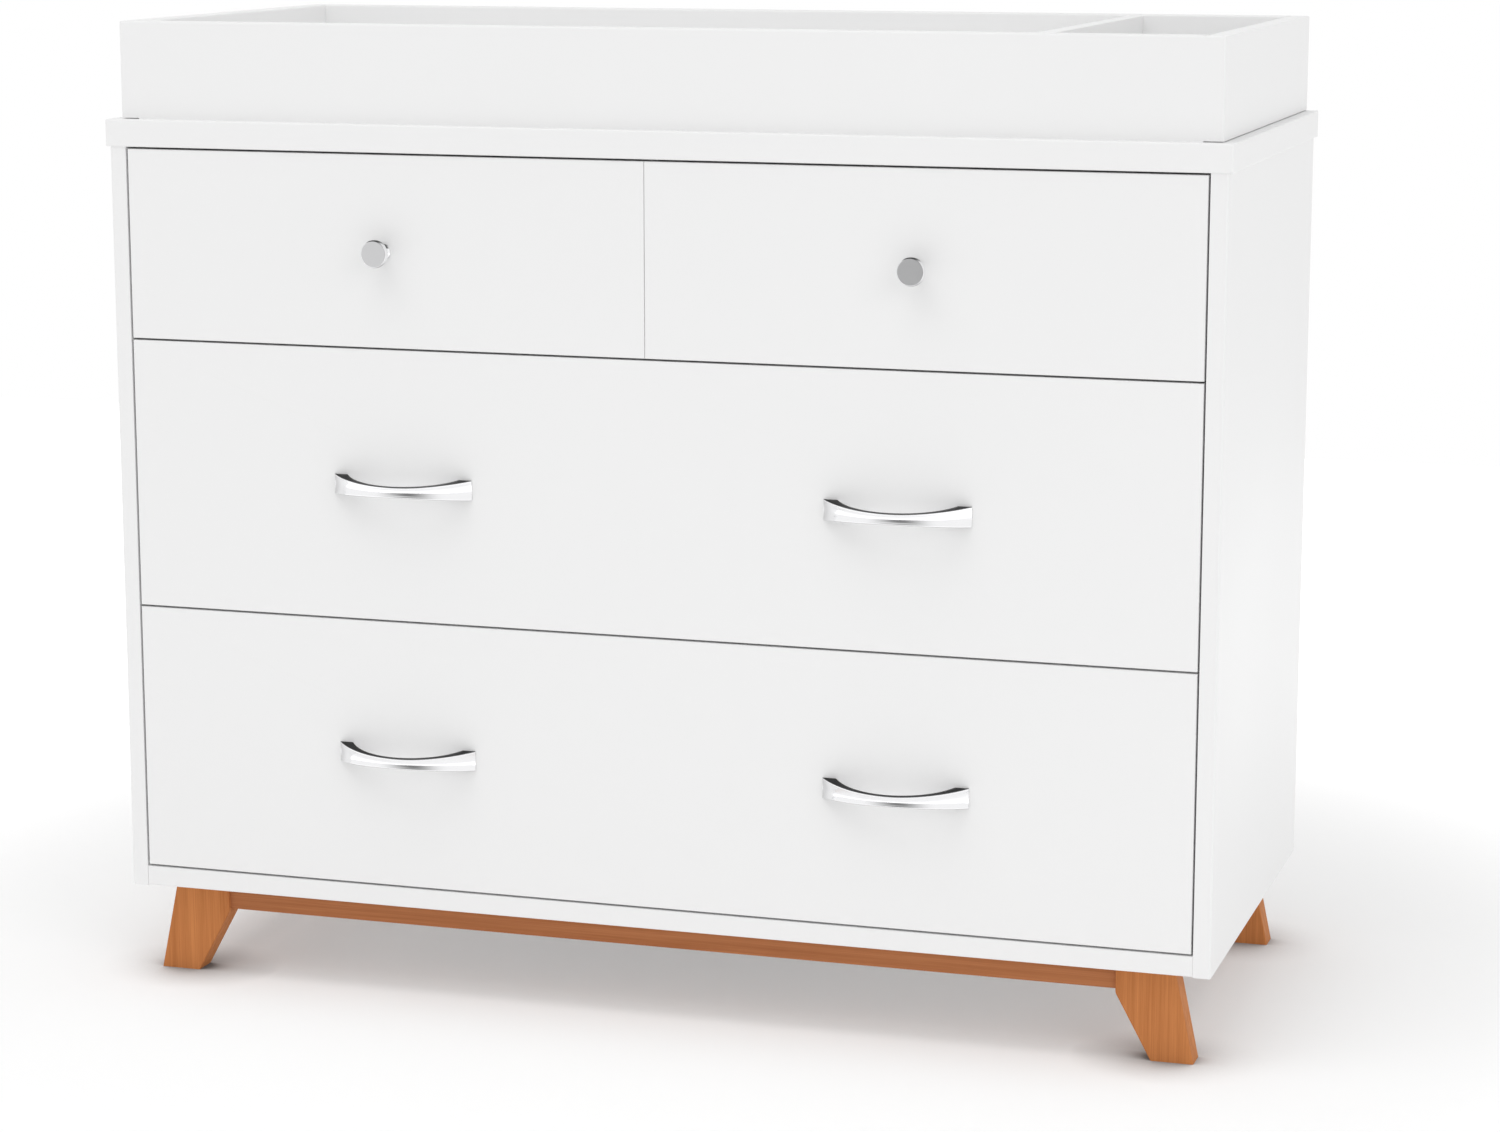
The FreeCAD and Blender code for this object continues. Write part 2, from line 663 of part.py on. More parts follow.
def drawer_panel(name, opening, base):
    """The thin bottom panel, held in the grooves of the front and of both sides."""
    outer_left, outer_right = box_sides(opening)
    start = less(add(outer_left, BOX_THICK), TONGUE)
    end = less(add(outer_right, TONGUE), BOX_THICK)
    front = less(FRONT_REAR, TONGUE)
    size = (less(end, start), less(BOX_REAR, front), given("panel_thick"))
    board(f"{name}_drawer_panel", size, (start, front, add(base, PANEL_RISE)))


def runners(name, opening, base):
    """The three members of the slides on both sides of a drawer."""
    middle = half(add(opening[0], opening[1]))
    width = less(opening[1], opening[0])
    level = add(base, given("runner_rise"))
    runner_pair(f"{name}_outer_runners", OUTER_MEMBER, middle, width, level)
    runner_pair(f"{name}_centre_runners", CENTRE_MEMBER, middle, width, level)
    runner_pair(f"{name}_inner_runners", INNER_MEMBER, middle, width, level)


def drawer(name, face, opening, level, height, screws):
    """A whole drawer with its slides."""
    base = add(level, given("box_rise"))
    box_height = less(height, given("box_rise"), given("box_drop"))
    drawer_front(name, face, opening, level, height, screws)
    drawer_side(name, opening, base, box_height, right=False)
    drawer_side(name, opening, base, box_height, right=True)
    drawer_back(name, opening, base, box_height)
    drawer_panel(name, opening, base)
    runners(name, opening, base)


# The bow handles and the knobs

HANDLE_HOLE = given("( handle_length / 2 - handle_hole_inset )")


def arc_radius(half_span, rise):
    """The radius of an arc that rises so far over half its span."""
    return f"( ( {half_span} ) ^ 2 + ( {rise} ) ^ 2 ) / ( 2 * ( {rise} ) )"


def add_arc(sketch, start, middle, end, radius):
    """An arc that runs anticlockwise through three points, with a bound radius."""
    places = [FreeCAD.Vector(number(x), number(y), 0) for x, y in (start, middle, end)]
    edge = sketch.addGeometry(Part.Arc(*places), False)
    bind(sketch, Sketcher.Constraint("Radius", edge, number(radius)), radius)
    return edge


def add_chain(sketch, points):
    """Straight edges from point to point."""
    edges = []
    for start, end in zip(points, points[1:]):
        places = [FreeCAD.Vector(number(x), number(y), 0) for x, y in (start, end)]
        edges.append(sketch.addGeometry(Part.LineSegment(*places), False))
    for first, second in zip(edges, edges[1:]):
        sketch.addConstraint(Sketcher.Constraint("Coincident", first, 2, second, 1))
    for edge, (x, y) in zip(edges, points):
        pin_point(sketch, edge, 1, x, y)
    pin_point(sketch, edges[-1], 2, *points[-1])
    return edges


def join(sketch, edge, chain_start, chain_end):
    """Join the two ends of an arc to the ends of chains of straight edges."""
    sketch.addConstraint(Sketcher.Constraint("Coincident", edge, 2, chain_start, 1))
    sketch.addConstraint(Sketcher.Constraint("Coincident", chain_end, 2, edge, 1))


def bow_handle(label, side, level):
    """A bow handle: a curved plan, a waisted front view and a front face that is hollow all along.

    It is drawn standing out towards +Y and is turned half round to stand on the front."""
    reach = given("handle_length / 2")
    inner_reach = given("( handle_length / 2 - handle_foot )")
    blunt = given("handle_end_thick")
    top = given("handle_end_height / 2")
    waist = given("handle_waist_height / 2")
    dish_radius = arc_radius(top, given("handle_dish_depth"))
    waist_dip = f"( {dish_radius} - sqrt( ( {dish_radius} ) ^ 2 - ( {waist} ) ^ 2 ) )"
    out = less(given("( handle_projection + handle_dish_depth )"), waist_dip)
    inner_out = given("( handle_projection - handle_thick )")
    front_radius = arc_radius(reach, less(out, blunt))
    inner_radius = arc_radius(inner_reach, inner_out)
    body = new_body(label, (side, FRONT, level), turned=True)

    plan = new_sketch(body, "XY_Plane", "Plan")
    right_foot = add_chain(plan, [(inner_reach, "0"), (reach, "0"), (reach, blunt)])
    left_foot = add_chain(plan, [(minus(reach), blunt), (minus(reach), "0"), (minus(inner_reach), "0")])
    front = add_arc(plan, (reach, blunt), ("0", out), (minus(reach), blunt), front_radius)
    back = add_arc(plan, (inner_reach, "0"), ("0", inner_out), (minus(inner_reach), "0"), inner_radius)
    join(plan, front, left_foot[0], right_foot[-1])
    plan.addConstraint(Sketcher.Constraint("Coincident", back, 1, right_foot[0], 1))
    plan.addConstraint(Sketcher.Constraint("Coincident", back, 2, left_foot[-1], 2))
    pad(body, plan, given("handle_end_height"), symmetric=True)

    view = new_sketch(body, "XZ_Plane", "Waist")
    waist_radius = arc_radius(reach, less(top, waist))
    past = add(top, given("overrun"))
    over = add_chain(view, [(reach, top), (reach, past), (minus(reach), past), (minus(reach), top)])
    dip = add_arc(view, (minus(reach), top), ("0", waist), (reach, top), waist_radius)
    join(view, dip, over[0], over[-1])
    low = [(minus(reach), minus(top)), (minus(reach), minus(past))]
    low += [(reach, minus(past)), (reach, minus(top))]
    under = add_chain(view, low)
    hump = add_arc(view, (reach, minus(top)), ("0", minus(waist)), (minus(reach), minus(top)), waist_radius)
    join(view, hump, under[0], under[-1])
    pocket(body, view, given("( handle_projection + overrun )"))

    section = new_sketch(body, "YZ_Plane", "Dish")
    hollow = less(out, given("handle_dish_depth"))
    beyond = add(out, given("overrun"))
    edge = [(out, minus(top)), (beyond, minus(top)), (beyond, top), (out, top)]
    outside = add_chain(section, edge)
    dish = add_arc(section, (out, top), (hollow, "0"), (out, minus(top)), dish_radius)
    join(section, dish, outside[0], outside[-1])
    groove_round(body, section, add_axis(section, less(out, front_radius), (minus(top), top)))

    holes = new_sketch(body, "XZ_Plane", "ScrewHoles")
    for x in (HANDLE_HOLE, minus(HANDLE_HOLE)):
        add_circle(holes, x, "0", given("thread_hole"))
    pocket(body, holes, given("thread_depth"))


def knob(label, side, level):
    """A round knob: foot, neck, back slope, rim, bevel and flat face, turned about its axis."""
    out = given("knob_projection")
    foot = given("knob_foot / 2")
    neck = given("knob_neck / 2")
    rim = given("knob_rim / 2")
    face = less(rim, given("knob_bevel_width"))
    flange = given("knob_foot_thick")
    rim_front = less(out, given("knob_bevel_depth"))
    rim_back = less(rim_front, given("knob_rim_thick"))
    neck_end = less(rim_back, given("knob_back"))
    neck_start = add(flange, less(foot, neck))
    points = [("0", "0"), (foot, "0"), (foot, flange), (neck, neck_start), (neck, neck_end)]
    points += [(rim, rim_back), (rim, rim_front), (face, out), ("0", out)]
    body = new_body(label, (side, FRONT, level), turned=True)
    sketch = new_sketch(body, "XY_Plane", "Profile")
    add_outline(sketch, points)
    turned = body.newObject("PartDesign::Revolution", "Turned")
    turned.Profile = sketch
    turned.ReferenceAxis = (sketch, ["V_Axis"])
    turned.Angle = 360
    body.Tip = turned
    doc.recompute()
    hole = new_sketch(body, "XZ_Plane", "ScrewHole")
    add_circle(hole, "0", "0", given("thread_hole"))
    pocket(body, hole, given("thread_depth"))


def all_drawers():
    """Two wide drawers with bow handles and, over them, two narrow ones with knobs."""
    right_pull = less(OUTER_EDGE, given("handle_inset"))
    pulls = {"left": minus(right_pull), "right": right_pull}
    screws = [place for pull in pulls.values() for place in (less(pull, HANDLE_HOLE), add(pull, HANDLE_HOLE))]
    height = given("wide_front_height")
    for name, level in (("bottom", LOW_FRONT), ("middle", MIDDLE_FRONT)):
        drawer(name, WIDE_FACE, WIDE_OPENING, level, height, screws)
        for side, pull in pulls.items():
            bow_handle(f"{name}_{side}_handle", pull, add(level, half(height)))
    height = given("top_front_height")
    inner_edge = given("middle_gap / 2")
    left_face = (minus(OUTER_EDGE), minus(inner_edge))
    left_opening = (minus(INNER_SIDE), minus(PARTITION_SIDE))
    right_face = (inner_edge, OUTER_EDGE)
    right_opening = (PARTITION_SIDE, INNER_SIDE)
    right_knob = less(OUTER_EDGE, given("knob_inset"))
    for side, face, opening, pull in (
        ("left", left_face, left_opening, minus(right_knob)),
        ("right", right_face, right_opening, right_knob),
    ):
        drawer(f"top_{side}", face, opening, TOP_FRONT, height, [pull])
        knob(f"top_{side}_knob", pull, add(TOP_FRONT, half(height)))


side_panel("left_side_panel", right=False)
side_panel("right_side_panel", right=True)
bottom_board()
top_board()
back_panel()
drawer_shelf()
centre_partition()
drawer_stretcher()
legs()
rails()
tray_end_board("tray_front_board", TRAY_FRONT)
tray_end_board("tray_rear_board", less(TOP_REAR, given("tray_thick")))
tray_side_board("tray_left_board", right=False)
tray_side_board("tray_right_board", right=True)
tray_divider()
tray_plates()
all_drawers()
doc.recompute()

for thing in doc.Objects:
    if "Invalid" in thing.State or "Error" in thing.State:
        raise RuntimeError(f"{thing.Label} did not build: {thing.State}")
for node in nodes:
    if node.Shape.isNull() or not node.Shape.isValid() or not node.Shape.Solids:
        raise RuntimeError(f"{node.Label} has no valid solid")

os.makedirs("parts", exist_ok=True)
for node in nodes:
    node.Shape.exportStep(f"parts/{node.Label}.step")
print(f"{len(nodes)} nodes, {sum(len(node.Shape.Solids) for node in nodes)} solids")
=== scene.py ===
"""Finishes, fittings and studio for a dresser with a changing tray, built around its CAD solids."""

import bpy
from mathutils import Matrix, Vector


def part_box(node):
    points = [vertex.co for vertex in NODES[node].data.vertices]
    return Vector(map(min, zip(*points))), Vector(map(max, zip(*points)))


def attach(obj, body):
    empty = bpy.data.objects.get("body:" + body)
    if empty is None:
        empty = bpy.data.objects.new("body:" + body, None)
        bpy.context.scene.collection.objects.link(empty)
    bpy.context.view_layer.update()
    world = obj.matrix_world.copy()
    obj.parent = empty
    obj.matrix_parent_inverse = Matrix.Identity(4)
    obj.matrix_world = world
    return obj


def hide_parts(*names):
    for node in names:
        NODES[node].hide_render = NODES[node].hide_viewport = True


bl_info = {
    "name": "Dresser with changing tray",
    "version": (1, 0, 0),
    "blender": (4, 5, 0),
    "location": "View3D > Sidebar > Dresser",
    "description": "Finishes, fittings and studio for a dresser built around its CAD solids",
    "category": "Object",
}

import math

import bmesh
import bpy
from bpy.props import FloatProperty, FloatVectorProperty, PointerProperty
from mathutils import Matrix, Vector

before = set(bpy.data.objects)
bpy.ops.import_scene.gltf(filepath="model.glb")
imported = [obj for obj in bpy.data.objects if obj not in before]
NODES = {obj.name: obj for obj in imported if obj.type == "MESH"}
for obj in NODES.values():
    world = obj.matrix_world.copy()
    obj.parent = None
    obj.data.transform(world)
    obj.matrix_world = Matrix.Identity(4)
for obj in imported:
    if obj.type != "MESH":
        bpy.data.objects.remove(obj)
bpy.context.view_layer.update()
MM = 0.001

# Names of the drawers, and of the handles and knobs with the body that each one rides on
DRAWERS = ("bottom", "middle", "top_left", "top_right")
HANDLES = {
    f"{drawer}_{side}_handle": f"{drawer}_drawer"
    for drawer in ("bottom", "middle")
    for side in ("left", "right")
}
KNOBS = {f"{drawer}_knob": f"{drawer}_drawer" for drawer in ("top_left", "top_right")}


def node_size(node):
    """Width, depth and height of a CAD node."""
    low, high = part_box(node)
    return high - low


HANDLE_SIZE = node_size("bottom_left_handle")
KNOB_SIZE = node_size("top_left_knob")


# Settings that a user would change, and what settings of one kind share

COLOUR = {"subtype": "COLOR", "size": 3, "min": 0, "max": 1}
SHARE = {"subtype": "FACTOR", "min": 0, "max": 1}
POWER = {"subtype": "POWER", "min": 0}


class DresserFinishes(bpy.types.PropertyGroup):
    """Colours and sheens of the dresser's finishes."""

    paint: FloatVectorProperty(
        name="Paint", description="Satin paint of the boards", default=(0.86, 0.86, 0.86), **COLOUR
    )
    paint_sheen: FloatProperty(
        name="Paint roughness", description="Roughness of the satin paint", default=0.42, **SHARE
    )
    wood_light: FloatVectorProperty(
        name="Stained wood, light",
        description="Light grain of the legs and rails",
        default=(0.62, 0.245, 0.085),
        **COLOUR,
    )
    wood_dark: FloatVectorProperty(
        name="Stained wood, dark",
        description="Dark grain of the legs and rails",
        default=(0.44, 0.155, 0.050),
        **COLOUR,
    )
    # Rails darker than the legs: partly painted shade from the case above them, partly a redder tone of
    # their own
    rail_tone_and_shade: FloatVectorProperty(
        name="Rail tone",
        description="How much of the legs' stain is left on the rails, for each colour",
        default=(0.81, 0.82, 1.0),
        **COLOUR,
    )
    box_light: FloatVectorProperty(
        name="Drawer box, light",
        description="Light grain of the drawer boxes",
        default=(0.74, 0.59, 0.42),
        **COLOUR,
    )
    box_dark: FloatVectorProperty(
        name="Drawer box, dark",
        description="Dark grain of the drawer boxes",
        default=(0.60, 0.44, 0.28),
        **COLOUR,
    )
    chrome: FloatVectorProperty(
        name="Chrome", description="Colour that the chrome reflects", default=(0.90, 0.90, 0.91), **COLOUR
    )
    # Painted shade on the chrome: the colour that it reflects is darkened on faces that look up, down or
    # to the left, and its glancing tint on faces that look up
    chrome_painted_shade_above: FloatProperty(
        name="Chrome above",
        description="Share of the chrome's shine that faces looking up keep",
        default=0.10,
        **SHARE,
    )
    chrome_painted_shade_glance: FloatProperty(
        name="Chrome glance", description="The same at a glancing angle", default=0.45, **SHARE
    )
    chrome_painted_shade_below: FloatProperty(
        name="Chrome below",
        description="Share of the chrome's shine that faces looking down keep",
        default=0.60,
        **SHARE,
    )
    chrome_painted_shade_left: FloatProperty(
        name="Chrome left",
        description="Share of the chrome's shine that faces looking left keep",
        default=0.72,
        **SHARE,
    )
    zinc: FloatVectorProperty(
        name="Zinc",
        description="Colour that the zinc of slides, plates and screws reflects",
        default=(0.60, 0.62, 0.64),
        **COLOUR,
    )


class DresserFittings(bpy.types.PropertyGroup):
    """Sizes of the handles, knobs and screws."""

    handle_length: FloatProperty(
        name="Handle length",
        description="Bow handle from end to end",
        unit="LENGTH",
        default=HANDLE_SIZE.x,
    )
    handle_projection: FloatProperty(
        name="Handle projection",
        description="Bow handle out from the drawer front",
        unit="LENGTH",
        default=HANDLE_SIZE.y,
    )
    handle_end_height: FloatProperty(
        name="Handle end height",
        description="Bow handle's height at its ends",
        unit="LENGTH",
        default=HANDLE_SIZE.z,
    )
    handle_waist_height: FloatProperty(
        name="Handle waist height",
        description="Bow handle's height at its middle",
        unit="LENGTH",
        default=10.8 * MM,
    )
    handle_thickness: FloatProperty(
        name="Handle thickness",
        description="Bow handle at its middle, front to back",
        unit="LENGTH",
        default=5.6 * MM,
    )
    handle_foot: FloatProperty(
        name="Handle foot",
        description="Foot of the bow handle on the drawer front",
        unit="LENGTH",
        default=13.5 * MM,
    )
    handle_end_thickness: FloatProperty(
        name="Handle end thickness",
        description="Blunt end of the bow handle",
        unit="LENGTH",
        default=1.5 * MM,
    )
    handle_dish: FloatProperty(
        name="Handle dish",
        description="Hollow of the handle's front face at its ends",
        unit="LENGTH",
        default=1.1 * MM,
    )
    handle_easing: FloatProperty(
        name="Handle edge",
        description="Rounding of the handle's long edges",
        unit="LENGTH",
        default=1.0 * MM,
    )
    knob_rim: FloatProperty(
        name="Knob rim", description="Knob's greatest diameter", unit="LENGTH", default=KNOB_SIZE.x
    )
    knob_projection: FloatProperty(
        name="Knob projection",
        description="Knob out from the drawer front",
        unit="LENGTH",
        default=KNOB_SIZE.y,
    )
    screw_head: FloatProperty(
        name="Screw head",
        description="Head of a screw that holds a handle, a knob or a slide",
        unit="LENGTH",
        default=7.8 * MM,
    )
    nail_head: FloatProperty(
        name="Nail head", description="Head of a nail in the back panel", unit="LENGTH", default=4.6 * MM
    )
    nail_spacing: FloatProperty(
        name="Nail spacing",
        description="Greatest distance between the nails of the back panel",
        unit="LENGTH",
        default=0.12,
    )


class DresserStudio(bpy.types.PropertyGroup):
    """Camera, floor and lamps."""

    camera_place: FloatVectorProperty(
        name="Camera place",
        description="Where the camera stands",
        subtype="TRANSLATION",
        size=3,
        default=(1.1468, -3.5531, 1.1224),
    )
    camera_turn: FloatProperty(
        name="Camera turn",
        description="Camera's turn about the upright axis",
        subtype="ANGLE",
        default=math.radians(17.385),
    )
    camera_tilt: FloatProperty(
        name="Camera tilt",
        description="How far the camera looks down",
        subtype="ANGLE",
        default=math.radians(10.70),
    )
    camera_lens: FloatProperty(
        name="Camera lens", description="Focal length in millimetres on a 36 mm sensor", default=88.72
    )
    floor_size: FloatProperty(
        name="Floor size", description="Side of the square floor", unit="LENGTH", default=7
    )
    floor_grey: FloatProperty(
        name="Floor grey", description="How much light the floor gives back", default=0.88, **SHARE
    )
    floor_glow: FloatProperty(
        name="Floor glow",
        description="White that the floor shows beside the light it gives back",
        min=0,
        default=0.115,
    )
    # Painted contact shadow: the floor's colour and glow are darkened where the dresser stands close by,
    # as round its feet
    painted_shadow_reach: FloatProperty(
        name="Contact reach",
        description="How far round a foot the floor is darker",
        unit="LENGTH",
        default=0.07,
    )
    painted_shadow_tone: FloatProperty(
        name="Contact tone",
        description="How much of the floor's light is left right beside a foot",
        default=0.20,
        **SHARE,
    )
    floor_lift: FloatProperty(
        name="Floor lift",
        description="Light of its own that the floor gives to what stands on it",
        min=0,
        default=0.20,
    )
    sky: FloatProperty(
        name="Sky", description="Even light from all round", min=0, default=0.775
    )
    top_power: FloatProperty(
        name="Top lamp", description="Power of the large lamp above the front", default=43, **POWER
    )
    side_power: FloatProperty(
        name="Side lamp", description="Power of the large lamp at the right", default=4.3, **POWER
    )
    key_power: FloatProperty(
        name="Key lamp", description="Power of the large lamp at the front right", default=18.6, **POWER
    )


# Helpers for modelling


def deselect_all():
    """Leave edit mode and deselect every object."""
    if bpy.context.object and bpy.context.object.mode != "OBJECT":
        bpy.ops.object.mode_set(mode="OBJECT")
    bpy.ops.object.select_all(action="DESELECT")


def select_only(piece):
    """Select one object and make it the active one."""
    deselect_all()
    piece.select_set(True)
    bpy.context.view_layer.objects.active = piece


def finish_piece(name, material, body, replaced=()):
    """Give the active object its name, finish and body, with its place in its mesh."""
    piece = bpy.context.object
    select_only(piece)
    bpy.ops.object.transform_apply(location=True, rotation=True, scale=True)
    piece.name = name
    piece.data.name = name
    piece.data.materials.clear()
    piece.data.materials.append(material)
    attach(piece, body)
    if replaced:
        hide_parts(*replaced)
    return piece


def shade_by_angle(degrees):
    """Shade the active object smooth, with edges sharper than an angle left sharp."""
    bpy.ops.object.shade_smooth_by_angle(angle=math.radians(degrees))


def copy_mesh_object(source, name, matrix):
    """A copy of an object with its own mesh, moved in its mesh by a matrix."""
    select_only(source)
    bpy.ops.object.duplicate(linked=False)
    piece = bpy.context.object
    piece.name = name
    piece.data.transform(matrix)
    if matrix.determinant() < 0:
        piece.data.flip_normals()
    return piece


def remove_pattern(piece):
    """Delete an object that was only a pattern for its copies."""
    select_only(piece)
    bpy.ops.object.delete()


def place_face(points):
    """Put the corners of the one selected face at a list of points."""
    mesh = bmesh.from_edit_mesh(bpy.context.object.data)
    face = [face for face in mesh.faces if face.select][0]
    for corner, point in zip(face.verts, points):
        corner.co = point
    bmesh.update_edit_mesh(bpy.context.object.data)


def finished_solid():
    """The active object out of edit mode, with its faces looking outwards."""
    bpy.ops.mesh.select_all(action="SELECT")
    bpy.ops.mesh.normals_make_consistent(inside=False)
    bpy.ops.object.mode_set(mode="OBJECT")
    return bpy.context.object


def loft(sections):
    """A closed solid through a row of sections that all have the same number of points."""
    deselect_all()
    bpy.ops.mesh.primitive_circle_add(vertices=len(sections[0]), fill_type="NGON", enter_editmode=True)
    place_face(sections[0])
    for section in sections[1:]:
        bpy.ops.mesh.extrude_region_move()
        place_face(section)
    return finished_solid()


def spin_profile(profile, steps):
    """A turned solid about the Y axis from (radius, out) points, where out goes towards -Y."""
    deselect_all()
    bpy.ops.mesh.primitive_plane_add(enter_editmode=True)
    bpy.ops.mesh.merge(type="CENTER")
    place = Vector((0, 0, 0))
    for radius, out in profile:
        target = Vector((radius, -out, 0))
        if target != place:
            bpy.ops.mesh.extrude_region_move(TRANSFORM_OT_translate={"value": target - place})
        place = target
    bpy.ops.mesh.select_all(action="SELECT")
    bpy.ops.mesh.spin(steps=steps, angle=math.tau, center=(0, 0, 0), axis=(0, 1, 0))
    bpy.ops.mesh.select_all(action="SELECT")
    bpy.ops.mesh.remove_doubles(threshold=0.001 * MM)
    return finished_solid()


def rounded_profile(corners, steps=5):
    """Points along (across, along, rounding) corners, with an arc at each corner that is rounded."""
    points = []
    places = [Vector(corner[:2]) for corner in corners]
    for index, corner in enumerate(places):
        rounding = corners[index][2]
        if rounding == 0:
            points.append(corner)
            continue
        before = (places[index - 1] - corner).normalized()
        after = (places[index + 1] - corner).normalized()
        half_angle = before.angle(after) / 2
        reach = rounding / math.tan(half_angle)
        middle = corner + (before + after).normalized() * (rounding / math.sin(half_angle))
        start = corner + before * reach - middle
        turn = start.angle_signed(corner + after * reach - middle)
        for step in range(steps + 1):
            points.append(middle + Matrix.Rotation(-turn * step / steps, 2) @ start)
    return points


# Helpers for materials


# Where a colour Mix node has its two colours and its result
MIX_FIRST = 6
MIX_SECOND = 7
MIX_RESULT = 2
# How much of the paint's colour is left where it dries dullest, and how far its roughness varies
DULL_PATCH = 0.985
SHEEN_SPREAD = 0.04
# What the wood's pores leave of its red, green and blue
PORE_TINT = (0.55, 0.47, 0.42)
# How the wood's pattern is turned so that its grain runs upright, across or along the dresser
GRAIN_TURNS = {"upright": (0, 0, 0), "across": (0, math.pi / 2, 0), "along": (math.pi / 2, 0, 0)}
# The direction in which the pattern moves from piece to piece, so that no two are alike
PATTERN_SHIFT = Vector((1, 0.7, 1.3))
# Contrast of the grain, depth of the pores and gloss
STAINED = {"contrast": 1.4, "pores": 0.12, "gloss": 0.05}
BOX_WOOD = {"contrast": 0.8, "pores": 0.15, "gloss": 0.35}


def set_inputs(node, values):
    """Give a node's inputs their values by name."""
    for name, value in values.items():
        node.inputs[name].default_value = value


def add_node(tree, kind, values=None, **options):
    """Add a shader node, with its inputs and its options by name."""
    node = tree.nodes.new(kind)
    for option, value in options.items():
        setattr(node, option, value)
    set_inputs(node, values or {})
    return node


def object_place(tree):
    """Each point's place on the object, for a pattern to follow."""
    return add_node(tree, "ShaderNodeTexCoord").outputs["Object"]


def ranged(tree, value, low, high, new_low=0, new_high=1, kind="LINEAR"):
    """A value stretched from one range to another. SMOOTHSTEP gives it soft ends."""
    values = {"From Min": low, "From Max": high, "To Min": new_low, "To Max": new_high}
    node = add_node(tree, "ShaderNodeMapRange", values, interpolation_type=kind)
    tree.links.new(value, node.inputs["Value"])
    return node.outputs["Result"]


def joined(tree, kind, *values):
    """Sockets and plain numbers joined by one kind of arithmetic."""
    node = add_node(tree, "ShaderNodeMath", operation=kind)
    for value, socket in zip(values, node.inputs):
        if isinstance(value, (int, float)):
            socket.default_value = value
        else:
            tree.links.new(value, socket)
    return node.outputs["Value"]


def blended(tree, mask, first, second, kind="MIX"):
    """Two colours blended by a mask, each a socket or a plain colour."""
    node = add_node(tree, "ShaderNodeMix", data_type="RGBA", blend_type=kind)
    tree.links.new(mask, node.inputs["Factor"])
    for colour, place in ((first, MIX_FIRST), (second, MIX_SECOND)):
        if isinstance(colour, bpy.types.NodeSocket):
            tree.links.new(colour, node.inputs[place])
        else:
            node.inputs[place].default_value = (*colour, 1)
    return node.outputs[MIX_RESULT]


def add_noise(tree, vector, scale, detail, roughness=0.5, distortion=0):
    """Noise that follows a vector."""
    values = {"Scale": scale, "Detail": detail, "Roughness": roughness, "Distortion": distortion}
    node = add_node(tree, "ShaderNodeTexNoise", values)
    tree.links.new(vector, node.inputs["Vector"])
    return node.outputs["Fac"]


def new_group(name, inputs, outputs):
    """A node group, from the kinds of its inputs and outputs by their names."""
    group = bpy.data.node_groups.new(name, "ShaderNodeTree")
    for direction, sockets in (("INPUT", inputs), ("OUTPUT", outputs)):
        for socket, kind in sockets.items():
            group.interface.new_socket(socket, in_out=direction, socket_type=f"NodeSocket{kind}")
    return group, group.nodes.new("NodeGroupInput"), group.nodes.new("NodeGroupOutput")


def new_material(name):
    """A node material, its tree and its Principled shader."""
    material = bpy.data.materials.new(name)
    material.use_nodes = True
    tree = material.node_tree
    return material, tree, tree.nodes["Principled BSDF"]


def place_group(tree, name, build, values):
    """Put a shared node group in a material with its own values, and build it if it is the first."""
    node = tree.nodes.new("ShaderNodeGroup")
    node.node_tree = bpy.data.node_groups.get(name) or build()
    set_inputs(node, values)
    return node


def wood_figure_group():
    """Grain, fibres and pores of wood whose grain runs along Z."""
    inputs = {
        "Vector": "Vector",
        "Light Colour": "Color",
        "Dark Colour": "Color",
        "Grain": "Float",
        "Pores": "Float",
    }
    outputs = {"Colour": "Color", "Roughness": "Float", "Height": "Float"}
    group, start, end = new_group("Wood figure", inputs, outputs)
    link = group.links.new

    def layer(across, along, detail, distortion=0, low=0.3, high=0.7):
        """Noise drawn out along the grain, from how often it changes across and along it."""
        stretch = add_node(group, "ShaderNodeMapping", {"Scale": (across, across, along)})
        link(start.outputs["Vector"], stretch.inputs["Vector"])
        noise = add_noise(group, stretch.outputs["Vector"], 1, detail, 0.55, distortion)
        return ranged(group, noise, low, high)

    broad = layer(24, 1.6, 2, 0.5)
    streaks = layer(230, 3.5, 3, 0.3)
    fibres = layer(900, 12, 2)
    pores = layer(1800, 45, 1, low=0.60, high=0.72)

    # The layers' shares add up to one, and the contrast works from their middle
    blend = -0.5
    for noise, share in ((broad, 0.24), (streaks, 0.46), (fibres, 0.30)):
        blend = joined(group, "MULTIPLY_ADD", noise, share, blend)
    blend = joined(group, "MULTIPLY_ADD", blend, start.outputs["Grain"], 0.5)
    colour = blended(group, blend, start.outputs["Dark Colour"], start.outputs["Light Colour"])
    pore_mask = joined(group, "MULTIPLY", pores, start.outputs["Pores"])
    colour = blended(group, pore_mask, colour, PORE_TINT, "MULTIPLY")
    link(colour, end.inputs["Colour"])
    link(ranged(group, streaks, 0, 1, 0.54, 0.46), end.inputs["Roughness"])
    height = joined(group, "SUBTRACT", joined(group, "MULTIPLY", fibres, 0.5), pore_mask)
    link(height, end.inputs["Height"])
    return group


def spray_group():
    """The fine texture that sprayed paint has, and the soft patches where it dries differently."""
    outputs = {"Height": "Float", "Patches": "Float"}
    group, start, end = new_group("Spray texture", {"Vector": "Vector"}, outputs)
    vector = start.outputs["Vector"]
    group.links.new(add_noise(group, vector, 950, 2), end.inputs["Height"])
    group.links.new(add_noise(group, vector, 3.2, 3), end.inputs["Patches"])
    return group


